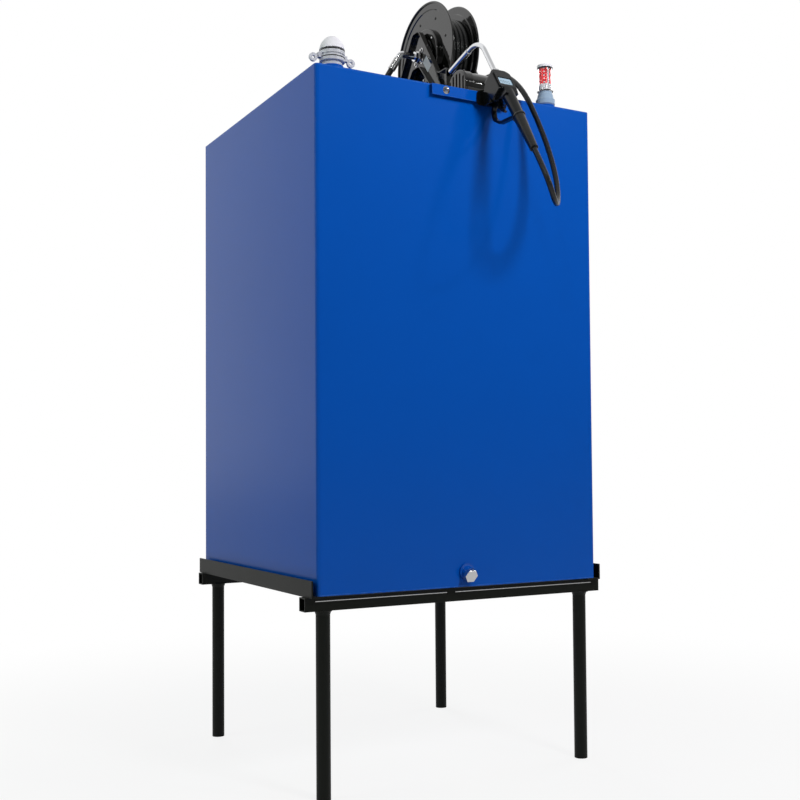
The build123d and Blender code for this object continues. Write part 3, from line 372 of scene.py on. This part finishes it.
# %% Tool lines
lines, lines_in, lines_out = make_group(
    "tool_lines",
    [
        ("Colour", COLOUR, (0.6, 0.6, 0.6, 1)), ("Stretch", VECTOR, (1, 1, 40)),
        ("Gloss", NUMBER, 0.2), ("Stain", NUMBER, 0.1),
    ],
    SURFACE_OUTPUTS,
)
scored = noise_in(lines, 40.0, 3, 0.6, lines_in.outputs["Stretch"])
lines.links.new(scored, lines_out.inputs["Height"])
scored_gloss = math_in(lines, "MULTIPLY_ADD", scored, 0.12, lines_in.outputs["Gloss"])
lines.links.new(scored_gloss, lines_out.inputs["Roughness"])
stained = math_in(lines, "SUBTRACT", noise_in(lines, 55.0, 5, 0.7), 0.5)
stain_tone = math_in(lines, "MULTIPLY_ADD", stained, lines_in.outputs["Stain"], 1.0)
lines.links.new(toned_in(lines, lines_in.outputs["Colour"], stain_tone), lines_out.inputs["Colour"])

# %% [markdown]
# Moulded grain: plastic and rubber come out of a mould with a fine even texture, and handling
# polishes it in places. Small cells give the grain and a wide noise the polish.

# %% Moulded grain
grain, grain_in, grain_out = make_group(
    "moulded_grain",
    [
        ("Colour", COLOUR, (0.02, 0.02, 0.02, 1)), ("Gloss", NUMBER, 0.4),
        ("Grain Scale", NUMBER, 900.0), ("Bloom", NUMBER, 0.2),
    ],
    SURFACE_OUTPUTS,
)
cells = grain.nodes.new("ShaderNodeTexVoronoi")
cells.feature = "SMOOTH_F1"
grain.links.new(grain.nodes.new("ShaderNodeTexCoord").outputs["Object"], cells.inputs["Vector"])
grain.links.new(grain_in.outputs["Grain Scale"], cells.inputs["Scale"])
grain.links.new(cells.outputs["Distance"], grain_out.inputs["Height"])
handled = noise_in(grain, 22.0, 4, 0.6)
handled_gloss = math_in(grain, "MULTIPLY_ADD", handled, 0.2, grain_in.outputs["Gloss"])
grain.links.new(handled_gloss, grain_out.inputs["Roughness"])
bloom = math_in(
    grain, "MULTIPLY_ADD", math_in(grain, "SUBTRACT", handled, 0.4), grain_in.outputs["Bloom"], 1.0
)
grain.links.new(toned_in(grain, grain_in.outputs["Colour"], bloom), grain_out.inputs["Colour"])
print("shared effects", len(bpy.data.node_groups))

# %% [markdown]
# A finish is one material. Its own Principled shader takes colour, roughness and height from a
# shared group, then dust and edge wear are laid over the colour where the finish has them.

# %% Finish maker
DUST_COLOUR = (0.34, 0.33, 0.31, 1)
WORN_ROUGHNESS, DUSTY_ROUGHNESS = 0.45, 0.85
BUMP_DEPTH = 0.001


def finish_of(
    name, group, values, metallic=0.0, bump=0.1, dusty=0.0, worn=0.0, worn_colour=None, **sockets
):
    """A material made from a shared group, with optional dust and edge wear."""
    material = bpy.data.materials.new(name)
    material.use_nodes = True
    tree = material.node_tree
    shader = tree.nodes["Principled BSDF"]
    effect = tree.nodes.new("ShaderNodeGroup")
    effect.node_tree = group
    for socket, value in values.items():
        effect.inputs[socket].default_value = value
    colour, rough = effect.outputs["Colour"], effect.outputs["Roughness"]
    layers = (
        (wear, worn, worn_colour, WORN_ROUGHNESS),
        (dust, dusty, DUST_COLOUR, DUSTY_ROUGHNESS),
    )
    for layer, amount, paint, roughened in layers:
        if not amount:
            continue
        over = tree.nodes.new("ShaderNodeGroup")
        over.node_tree = layer
        over.inputs["Amount"].default_value = amount
        blend = tree.nodes.new("ShaderNodeMix")
        blend.data_type = "RGBA"
        tree.links.new(over.outputs["Mask"], blend.inputs["Factor"])
        tree.links.new(colour, blend.inputs["A"])
        blend.inputs["B"].default_value = paint
        blend_rough = tree.nodes.new("ShaderNodeMix")
        tree.links.new(over.outputs["Mask"], blend_rough.inputs["Factor"])
        tree.links.new(rough, blend_rough.inputs["A"])
        blend_rough.inputs["B"].default_value = roughened
        colour, rough = blend.outputs["Result"], blend_rough.outputs["Result"]
    tree.links.new(colour, shader.inputs["Base Color"])
    tree.links.new(rough, shader.inputs["Roughness"])
    ripple = tree.nodes.new("ShaderNodeBump")
    ripple.inputs["Strength"].default_value = bump
    ripple.inputs["Distance"].default_value = BUMP_DEPTH
    tree.links.new(effect.outputs["Height"], ripple.inputs["Height"])
    tree.links.new(ripple.outputs["Normal"], shader.inputs["Normal"])
    shader.inputs["Metallic"].default_value = metallic
    for socket, value in sockets.items():
        shader.inputs[socket.replace("_", " ")].default_value = value
    return material


# %% [markdown]
# The finishes of the real tank: a satin blue coat on the sheet, satin black on the stand, gloss
# black on the reel and the pump, dull cast metal on the filler, bright plate on the small
# fittings, rubber, and several plastics.

# %% Finishes
TANK_BLUE, RUBBED_BLUE = (0.0, 0.072, 0.40, 1), (0.16, 0.34, 0.72, 1)
finishes = {
    "blue_paint": finish_of(
        "tank_blue", coat, {"Colour": TANK_BLUE, "Gloss": 0.2, "Drift": 0.12}, bump=0.06,
        worn=0.35, worn_colour=RUBBED_BLUE, Specular_IOR_Level=0.17,
    ),
    "thick_blue": finish_of(
        "fitting_blue", coat, {"Colour": TANK_BLUE, "Gloss": 0.06, "Peel Scale": 120.0}, bump=0.1,
        worn=0.3, worn_colour=RUBBED_BLUE, IOR=1.55,
    ),
    "stand_paint": finish_of(
        "stand_black", coat, {"Colour": (0.0035, 0.0045, 0.003, 1), "Gloss": 0.36}, dusty=0.03,
        worn=0.3, worn_colour=(0.1, 0.1, 0.1, 1), Specular_IOR_Level=0.18,
    ),
    "black_paint": finish_of(
        "reel_black", coat, {"Colour": (0.004, 0.0042, 0.0036, 1), "Gloss": 0.02, "Peel Scale": 60.0},
        bump=0.16, dusty=0.02, worn=0.35, worn_colour=(0.14, 0.14, 0.13, 1), IOR=1.75,
    ),
    "zinc": finish_of(
        "zinc_plate", lines, {"Colour": (0.60, 0.60, 0.60, 1), "Gloss": 0.13, "Stretch": (20, 20, 1)},
        metallic=1.0, bump=0.05,
    ),
    "chrome": finish_of(
        "bright_chrome", lines,
        {"Colour": (0.82, 0.83, 0.85, 1), "Gloss": 0.05, "Stain": 0.04, "Stretch": (2, 2, 2)},
        metallic=1.0, bump=0.02,
    ),
    "hose_rubber": finish_of(
        "hose_black", grain,
        {"Colour": (0.0065, 0.007, 0.007, 1), "Gloss": 0.17, "Grain Scale": 1400.0, "Bloom": 0.5},
        bump=0.05, dusty=0.02, Specular_IOR_Level=0.4,
    ),
    "gun_plastic": finish_of(
        "gun_black", grain, {"Colour": (0.004, 0.0046, 0.005, 1), "Gloss": 0.1, "Grain Scale": 1100.0},
        bump=0.06, worn=0.25, worn_colour=(0.06, 0.06, 0.06, 1), Specular_IOR_Level=0.36,
    ),
    "white_plastic": finish_of(
        "vent_white", grain, {"Colour": (0.76, 0.75, 0.80, 1), "Gloss": 0.3, "Bloom": 0.08},
        bump=0.03, dusty=0.06,
    ),
    "grey_plastic": finish_of(
        "gauge_grey", grain, {"Colour": (0.27, 0.37, 0.49, 1), "Gloss": 0.35, "Bloom": 0.1},
        bump=0.04, dusty=0.06,
    ),
    "clear_plastic": finish_of(
        "gauge_clear", grain, {"Colour": (1, 1, 1, 1), "Gloss": 0.0, "Bloom": 0.0},
        bump=0.0, Transmission_Weight=1.0, IOR=1.12,
    ),
    "display": finish_of(
        "meter_glass", grain, {"Colour": (0.36, 0.50, 0.62, 1), "Gloss": 0.08, "Grain Scale": 60.0},
        bump=0.0,
    ),
    "pale_label": finish_of(
        "bare_paper", grain, {"Colour": (0.5, 0.5, 0.52, 1), "Gloss": 0.45, "Bloom": 0.15}, bump=0.02,
    ),
    "cast_metal": finish_of(
        "filler_cast", coat, {"Colour": (0.60, 0.61, 0.66, 1), "Gloss": 0.42, "Peel Scale": 700.0},
        metallic=0.35, bump=0.15, dusty=0.05,
    ),
}
print("finishes", len(finishes))

# %% [markdown]
# The gauge's sleeve is one moulding in two colours: red, with a white band at its foot, a white
# stripe down one side and plain white division lines. Height and the angle about the gauge's axis
# choose between the two, so the print turns round the sleeve as a real one does.

# %% Gauge sleeve
GAUGE = (0.388, -0.2727)
SLEEVE_RED, SLEEVE_WHITE = (0.62, 0.012, 0.02, 1), (0.68, 0.68, 0.7, 1)
BAND_TOP = 2.236
MARKS_PER_METRE = 85.0
MARK_SPAN = (0.3, 0.62)
STRIPE_ANGLES, MARK_ANGLES = (-1.80, -1.48), (-2.50, -2.20)
sleeve = finish_of("gauge_sleeve", grain, {"Colour": SLEEVE_RED, "Gloss": 0.3}, bump=0.03)
tree = sleeve.node_tree
spot = tree.nodes.new("ShaderNodeSeparateXYZ")
tree.links.new(tree.nodes.new("ShaderNodeTexCoord").outputs["Object"], spot.inputs[0])
across = math_in(tree, "SUBTRACT", spot.outputs["X"], GAUGE[0])
deep = math_in(tree, "SUBTRACT", spot.outputs["Y"], GAUGE[1])
angle = math_in(tree, "ARCTAN2", deep, across)


def between(value, span):
    """One inside a span and zero outside it."""
    above = math_in(tree, "GREATER_THAN", value, span[0])
    return math_in(tree, "MULTIPLY", above, math_in(tree, "LESS_THAN", value, span[1]))


stripe = between(angle, STRIPE_ANGLES)
division = math_in(tree, "FRACT", math_in(tree, "MULTIPLY", spot.outputs["Z"], MARKS_PER_METRE), 0.0)
marks = math_in(tree, "MULTIPLY", between(angle, MARK_ANGLES), between(division, MARK_SPAN))
band = math_in(tree, "LESS_THAN", spot.outputs["Z"], BAND_TOP)
printed = math_in(tree, "MAXIMUM", math_in(tree, "MAXIMUM", stripe, marks), band)
two_tone = tree.nodes.new("ShaderNodeMix")
two_tone.data_type = "RGBA"
tree.links.new(printed, two_tone.inputs["Factor"])
tree.links.new(tree.nodes["Group"].outputs["Colour"], two_tone.inputs["A"])
two_tone.inputs["B"].default_value = SLEEVE_WHITE
tree.links.new(two_tone.outputs["Result"], tree.nodes["Principled BSDF"].inputs["Base Color"])
finishes["red_plastic"] = sleeve
print("marks every", round(1000 / MARKS_PER_METRE, 1), "mm")

# %% [markdown]
# Every CAD node takes the finish of its own slot. The filler's parts are cast, so they get the
# cast finish and not the bright plate of the small fittings, and the drain's socket has the
# thick gloss coat that a brush leaves round a fitting.

# %% Dress the CAD nodes
CAST_NODES = ("filler_coupler", "filler_cap", "cam_lever_left", "cam_lever_right")
special = {"drain_socket": "thick_blue", **dict.fromkeys(CAST_NODES, "cast_metal")}
for part in frame["record"]["subparts"]:
    for holder in nodes[part["node"]].material_slots:
        holder.material = finishes[special.get(part["node"], part["material_slot"])]
hose.data.materials.append(finishes["hose_rubber"])
print("dressed", len(nodes), "nodes")

# %% [markdown]
# The small fasteners are turned or hexagonal, so two shapes make nearly all of them: a profile
# spun about its own axis, and a hexagon with its top edge bevelled. Each is made at the origin,
# then poured into its piece at its place, so that one piece holds all the bolts of a group.

# %% Shape helpers
HEXAGON = 6
SHARP_DEGREES = 35


def turned_shape(profile, steps=24):
    """A closed shell: (radius, height) points spun about the Z axis."""
    shape = bmesh.new()
    points = [shape.verts.new((radius, 0, height)) for radius, height in profile]
    line = [shape.edges.new(pair) for pair in zip(points, points[1:])]
    bmesh.ops.spin(
        shape, geom=points + line, cent=(0, 0, 0), axis=(0, 0, 1),
        angle=math.tau, steps=steps, use_merge=True,
    )
    bmesh.ops.remove_doubles(shape, verts=shape.verts, dist=1e-6)
    bmesh.ops.recalc_face_normals(shape, faces=shape.faces)
    return shape


def hexagon_shape(across, height):
    """A prism from the origin up, its top edge chamfered twice as on a forged head."""
    shape = bmesh.new()
    reach = across / 2 / math.cos(math.pi / HEXAGON)
    bmesh.ops.create_cone(
        shape, cap_ends=True, segments=HEXAGON, radius1=reach, radius2=reach, depth=height
    )
    bmesh.ops.translate(shape, vec=(0, 0, height / 2), verts=shape.verts)
    rim = [edge for edge in shape.edges if all(v.co.z > height * 0.9 for v in edge.verts)]
    bmesh.ops.bevel(
        shape, geom=rim, offset=height * 0.16, segments=2, affect="EDGES", profile=0.5, material=-1
    )
    return shape


def block_shape(size, edge):
    """A block about the origin with its edges broken."""
    shape = bmesh.new()
    bmesh.ops.create_cube(shape, size=1)
    bmesh.ops.scale(shape, vec=size, verts=shape.verts)
    bmesh.ops.bevel(
        shape, geom=shape.edges[:], offset=edge, segments=1, affect="EDGES", profile=0.5, material=-1
    )
    return shape


def aimed(place, direction, spin=0.0):
    """The matrix that carries the origin to a place and Z to a direction."""
    lean = Vector(direction).to_track_quat("Z", "Y").to_matrix().to_4x4()
    return Matrix.Translation(place) @ lean @ Matrix.Rotation(spin, 4, "Z")


def pour(target, shape, matrix):
    """Adds a finished shape to a piece's mesh at its place."""
    shape.transform(matrix)
    carrier = bpy.data.meshes.new("carrier")
    shape.to_mesh(carrier)
    shape.free()
    target.from_mesh(carrier)
    bpy.data.meshes.remove(carrier)


def finish_piece(name, shape, body, slot, finish=None):
    """Turns a bmesh into a named piece that rides on a body and wears a finish."""
    mesh = bpy.data.meshes.new(name)
    shape.to_mesh(mesh)
    shape.free()
    mesh.shade_smooth()
    mesh.set_sharp_from_angle(angle=math.radians(SHARP_DEGREES))
    mesh.materials.append(finish or finishes[slot])
    piece = bpy.data.objects.new(name, mesh)
    bpy.context.collection.objects.link(piece)
    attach(piece, body)
    print(name, len(mesh.polygons), "faces")


def ring_profile(inner, outer, low, high, edge):
    """The closed outline of a washer or band with its outer edges rounded off."""
    return [
        (inner, low), (outer - edge, low), (outer, low + edge), (outer, high - edge),
        (outer - edge, high), (inner, high), (inner, low),
    ]


# %% [markdown]
# A bolt is a washer with its edge broken, under a hexagonal head with a chamfered top. Each head
# is turned a little further than the one before, as bolts are when they have been tightened.
# Rivets and small screws are plain domes, because their slots would be too fine to see.

# %% Bolts and rivets
def bolt_set(name, spots, across, body):
    """Plated bolts in one piece. Each spot is a place on the face and the way the head points."""
    group = bmesh.new()
    thin, head = across * 0.12, across * 0.5
    wide, narrow = across * 0.95, across * 0.88
    for number, (place, direction) in enumerate(spots):
        washer = [(0, 0), (wide, 0), (wide, thin * 0.6), (narrow, thin), (0, thin)]
        pour(group, turned_shape(washer), aimed(place, direction))
        raised = Vector(place) + Vector(direction).normalized() * thin
        pour(group, hexagon_shape(across, head), aimed(raised, direction, number * 0.7))
    finish_piece(name, group, body, "zinc")


def dome_set(name, spots, radius, body, slot="zinc"):
    """Round heads in one piece, as on rivets and pan screws."""
    dome = [(0, 0), (1, 0), (1, 0.12), (0.9, 0.42), (0.6, 0.6), (0, 0.68)]
    profile = [(out * radius, high * radius) for out, high in dome]
    group = bmesh.new()
    for place, direction in spots:
        pour(group, turned_shape(profile, 16), aimed(place, direction))
    finish_piece(name, group, body, slot)


# %% [markdown]
# The reel stands on the roof by eight bolts through its feet. Four more hold the shaft's flange to
# each bracket, eight rivets hold each disc to the drum's hub, and six screws close the spring
# case. Those on the discs and the case turn with the drum, so they ride on the reel's body.

# %% Reel fasteners
REEL_Y, REEL_Z = 0.0773, 2.395
LEFT, RIGHT, UP, FRONT = (-1, 0, 0), (1, 0, 0), (0, 0, 1), (0, -1, 0)
FOOT_TOP = 2.141
FLANGE_FACES, DISC_FACES, CASE_FACE = (0.101, 0.251), (0.130, 0.222), 0.115
FLANGE_RADIUS, RIVET_RADIUS, CASE_SCREW_RADIUS = 0.027, 0.138, 0.083


def ring_spots(x, direction, radius, count, start, y=REEL_Y, z=REEL_Z):
    """Places evenly round an axis along X, each with the way that its head points."""
    turns = [start + math.tau * number / count for number in range(count)]
    return [((x, y + radius * math.cos(turn), z + radius * math.sin(turn)), direction) for turn in turns]


foot_spots = [((x, y, FOOT_TOP), UP) for x in (0.0785, 0.2735) for y in (-0.112, -0.062, 0.217, 0.267)]
bolt_set("foot_bolts", foot_spots, 0.0115, "frame")
flange_spots, disc_spots = [], []
for direction, flange_face, disc_face in zip((LEFT, RIGHT), FLANGE_FACES, DISC_FACES):
    flange_spots += ring_spots(flange_face, direction, FLANGE_RADIUS, 4, 0.785)
    disc_spots += ring_spots(disc_face, direction, RIVET_RADIUS, 8, 0.5)
bolt_set("shaft_flange_bolts", flange_spots, 0.010, "frame")
case_spots = ring_spots(CASE_FACE, LEFT, CASE_SCREW_RADIUS, 6, 0.4)
dome_set("spring_case_screws", case_spots, 0.0045, "reel")
dome_set("disc_rivets", disc_spots, 0.0045, "reel", "black_paint")

# %% [markdown]
# The shaft ends in a turned collar outside the right bracket, and the swivel elbow on the left
# has a lock ring. Both are plated rings with rounded outer edges.

# %% Shaft collars
collars = bmesh.new()
collar = ring_profile(0.0152, 0.0205, 0, 0.0055, 0.001)
for x, direction in ((0.2512, RIGHT), (0.0978, LEFT)):
    pour(collars, turned_shape(collar, 32), aimed((x, REEL_Y, REEL_Z), direction))
finish_piece("shaft_collars", collars, "frame", "zinc")

# %% [markdown]
# The pump: three screws round its rim hold the fan cover, six bolts hold the cover of the head,
# and two plated plugs close the passages on top of the head.

# %% Pump fasteners
PUMP_Y, PUMP_Z = -0.2127, 2.197


def pump_spot(x, radius, turn):
    """A place on the pump's round side, with the way straight out from its axis."""
    way = (0, math.cos(turn), math.sin(turn))
    return (x, PUMP_Y + radius * way[1], PUMP_Z + radius * way[2]), way


cover_spots = [pump_spot(0.098, 0.0568, turn) for turn in (1.75, 3.84, 5.93)]
dome_set("fan_cover_screws", cover_spots, 0.004, "frame")
head_spots = ring_spots(0.283, RIGHT, 0.034, 6, 0.3, PUMP_Y, PUMP_Z)
bolt_set("pump_cover_bolts", head_spots, 0.008, "frame")
plug_spots = [pump_spot(x, 0.0468, turn) for x, turn in ((0.222, 1.15), (0.242, 2.0))]
bolt_set("pump_head_plugs", plug_spots, 0.011, "frame")

# %% [markdown]
# One bright bolt holds the front strip to the tank. Its twin sits behind the holster.

# %% Strip bolt
bolt_set("strip_bolt", [((-0.0655, -0.3777, 2.1150), FRONT)], 0.0125, "frame")

# %% [markdown]
# The gauge shows its level by a red sleeve in a clear cup. The sleeve has a white band and a
# white stripe with plain division lines. Inside the top of the cup lies a pale disc on a dark
# washer, and the cup's foot has a dark seal.

# %% Gauge details
top_disc = [
    (0, 2.2915), (0.0205, 2.2915), (0.0215, 2.2925), (0.0215, 2.2965), (0.0205, 2.2975), (0, 2.2975)
]
for name, profile, slot in (
    ("gauge_top_disc", top_disc, "white_plastic"),
    ("gauge_top_washer", [(0, 2.2892), (0.0205, 2.2892), (0.0205, 2.2913), (0, 2.2913)], "black_paint"),
    ("gauge_cup_rim", ring_profile(0.0253, 0.0263, 2.2925, 2.3008, 0.0004), "white_plastic"),
    ("gauge_cup_band", ring_profile(0.0253, 0.0260, 2.2895, 2.2923, 0.0003), "black_paint"),
    ("gauge_foot_seal", ring_profile(0.0253, 0.0268, 2.2112, 2.2140, 0.0006), "black_paint"),
):
    turned = turned_shape(profile, 40)
    turned.transform(Matrix.Translation((*GAUGE, 0)))
    finish_piece(name, turned, "frame", slot)

# %% [markdown]
# The filler's vent breathes through a gap under the white dome, and the cap sits on the coupler in a
# groove. The dark lines there are painted shade: two rings in the black rubber finish stand in for the
# shadow in the gap and in the groove, each a little proud of the part it covers.

# %% Filler shade rings
FILLER = (-0.404, -0.2727)
# Both rings are painted shade: dark bands where the gap under the dome and the groove under the cap lie
# in shadow.
for name, profile in (
    ("vent_painted_shade_ring", ring_profile(0.0345, 0.0389, 2.2030, 2.2108, 0.0006)),
    ("cap_painted_shade_ring", ring_profile(0.0343, 0.0398, 2.1856, 2.1886, 0.0006)),
):
    turned = turned_shape(profile, 48)
    turned.transform(Matrix.Translation((*FILLER, 0)))
    finish_piece(name, turned, "frame", "hose_rubber")

# %% [markdown]
# The fuel gun's swivel: a gloss black ring sits between the handle and the rubber boot, with a thin
# black seal under it. The gun leans by 33 degrees, so its parts are placed along its own axis.

# %% Gun details
LEAN = math.radians(33)
GUN_UP = Vector((0, math.sin(LEAN), math.cos(LEAN)))
GUN_OUT = Vector((0, -math.cos(LEAN), math.sin(LEAN)))
GUN_ORIGIN = Vector((0.100, -0.45766, 2.123))


def gun_place(along, out, x=0.0):
    """A place from the gun's own measures: along the handle's axis, and out from it."""
    return GUN_ORIGIN + GUN_UP * along + GUN_OUT * out + Vector((x, 0, 0))


gun_ring = turned_shape(ring_profile(0.0188, 0.0212, 0, 0.0038, 0.0008), 40)
gun_ring.transform(aimed(gun_place(-0.1292, 0), GUN_UP))
finish_piece("swivel_ring", gun_ring, "frame", "black_paint")
gun_seals = bmesh.new()
for along, profile, steps in (
    (-0.1318, ring_profile(0.0188, 0.0198, 0, 0.0022, 0.0005), 40),
    (-0.2678, ring_profile(0.0090, 0.0136, 0, 0.0035, 0.0008), 32),
):
    pour(gun_seals, turned_shape(profile, steps), aimed(gun_place(along, 0), GUN_UP))
finish_piece("swivel_seals", gun_seals, "frame", "hose_rubber")

# %% [markdown]
# The meter has a small liquid-crystal window. Its figures are plain zeros of a seven-bar display,
# made from thin bars that lie just above the glass.

# %% Meter figures
FIGURE_WIDE, FIGURE_HIGH, FIGURE_STEP, BAR, BAR_DEEP = 0.0052, 0.0100, 1.75, 0.0011, 0.0003
FIGURES = 4
glass = [vertex.co - GUN_ORIGIN for vertex in nodes["meter_display"].data.vertices]
glass_out = max(GUN_OUT.dot(place) for place in glass)
face_heights = [GUN_UP.dot(place) for place in glass if GUN_OUT.dot(place) > glass_out - 0.0005]
glass_low, glass_high = min(face_heights), max(face_heights)
middle = (glass_low + glass_high) / 2
screen = Matrix((Vector((1, 0, 0)), GUN_UP, GUN_OUT)).transposed().to_4x4()
figures = bmesh.new()


def add_bar(wide, high, x, y):
    """One bar of a figure, at a place on the glass seen from the front."""
    bar = block_shape((wide, high, BAR_DEEP), 0.0001)
    spot = gun_place(middle + y, glass_out + 0.0002, x)
    pour(figures, bar, Matrix.Translation(spot) @ screen)


for number in range(FIGURES):
    centre = (number - (FIGURES - 1) / 2) * FIGURE_WIDE * FIGURE_STEP
    for side in (-0.5, 0.5):
        for half in (-0.25, 0.25):
            add_bar(BAR, FIGURE_HIGH * 0.42, centre + side * FIGURE_WIDE, half * FIGURE_HIGH)
        add_bar(FIGURE_WIDE * 0.8, BAR, centre, side * FIGURE_HIGH)
finish_piece("meter_figures", figures, "frame", "gun_plastic")
print("meter window from", round(glass_low, 4), "to", round(glass_high, 4), "along the gun")

# %% [markdown]
# The legs are welded under the rails. A hand weld looks like a row of coins laid over each other,
# so the bead is a turned shape whose radius steps up and down along its length.

# %% Weld beads
RIPPLE, RIPPLE_RISE, BEAD_RADIUS = 0.0022, 0.16, 0.0026
BEAD_MARGIN, BEAD_INSET = 0.006, 0.0045


def weld_shape(length, radius):
    """A rippled bead along Z from the origin."""
    ripples = round(length / RIPPLE)
    body = [
        (radius * (1 + RIPPLE_RISE * (step % 2)), length * (step + 0.5) / (ripples + 1))
        for step in range(ripples + 1)
    ]
    return turned_shape([(0, 0), *body, (0, length)], 10)


beads = bmesh.new()
for leg in ("leg_front_left", "leg_front_right", "leg_back_left", "leg_back_right"):
    leg_low, leg_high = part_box(leg)
    bead_length = leg_high[0] - leg_low[0] - 2 * BEAD_MARGIN
    for edge_y in (leg_low[1] + BEAD_INSET, leg_high[1] - BEAD_INSET):
        start = (leg_low[0] + BEAD_MARGIN, edge_y, leg_high[2] + 0.001)
        pour(beads, weld_shape(bead_length, BEAD_RADIUS), aimed(start, RIGHT))
finish_piece("leg_welds", beads, "frame", "stand_paint")

# %% [markdown]
# Along the front rail runs one thin bright line, a painted light line: a plated strip on the rail's face
# stands in for a sliver of light seen through a gap over the rail. It is broken for three centimetres,
# just right of the drain. A strip half a millimetre thick gives a clean line, which a painted mask could
# not at this size.

# %% Painted light line on the rail
LINE_DEEP, LINE_HIGH, LINE_Z = 0.0006, 0.0026, 0.5718
LINE_SPANS = ((-0.498, -0.056), (-0.026, 0.498))
rail_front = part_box("cross_rail_front")[0][1]
painted_light_line = bmesh.new()
for start, stop in LINE_SPANS:
    strip = block_shape((stop - start, LINE_DEEP, LINE_HIGH), 0.0002)
    place = ((start + stop) / 2, rail_front - LINE_DEEP / 2, LINE_Z)
    pour(painted_light_line, strip, Matrix.Translation(place))
# The plated strip is painted light: it stands for light through the gap, not for a worn edge.
finish_piece("rail_painted_light_line", painted_light_line, "frame", "zinc")

# %% [markdown]
# A bare pale label sits on the reel's left bracket, as on the real one, with nothing on it.

# %% Bare label
LABEL_SIZE, LABEL_PLACE, LABEL_DEGREES = (0.0004, 0.056, 0.030), (0.1007, 0.0200, 2.3540), 53
label = block_shape(LABEL_SIZE, 0.00015)
label.transform(Matrix.Translation(LABEL_PLACE) @ Matrix.Rotation(math.radians(LABEL_DEGREES), 4, "X"))
finish_piece("bare_label", label, "frame", "white_plastic", finishes["pale_label"])
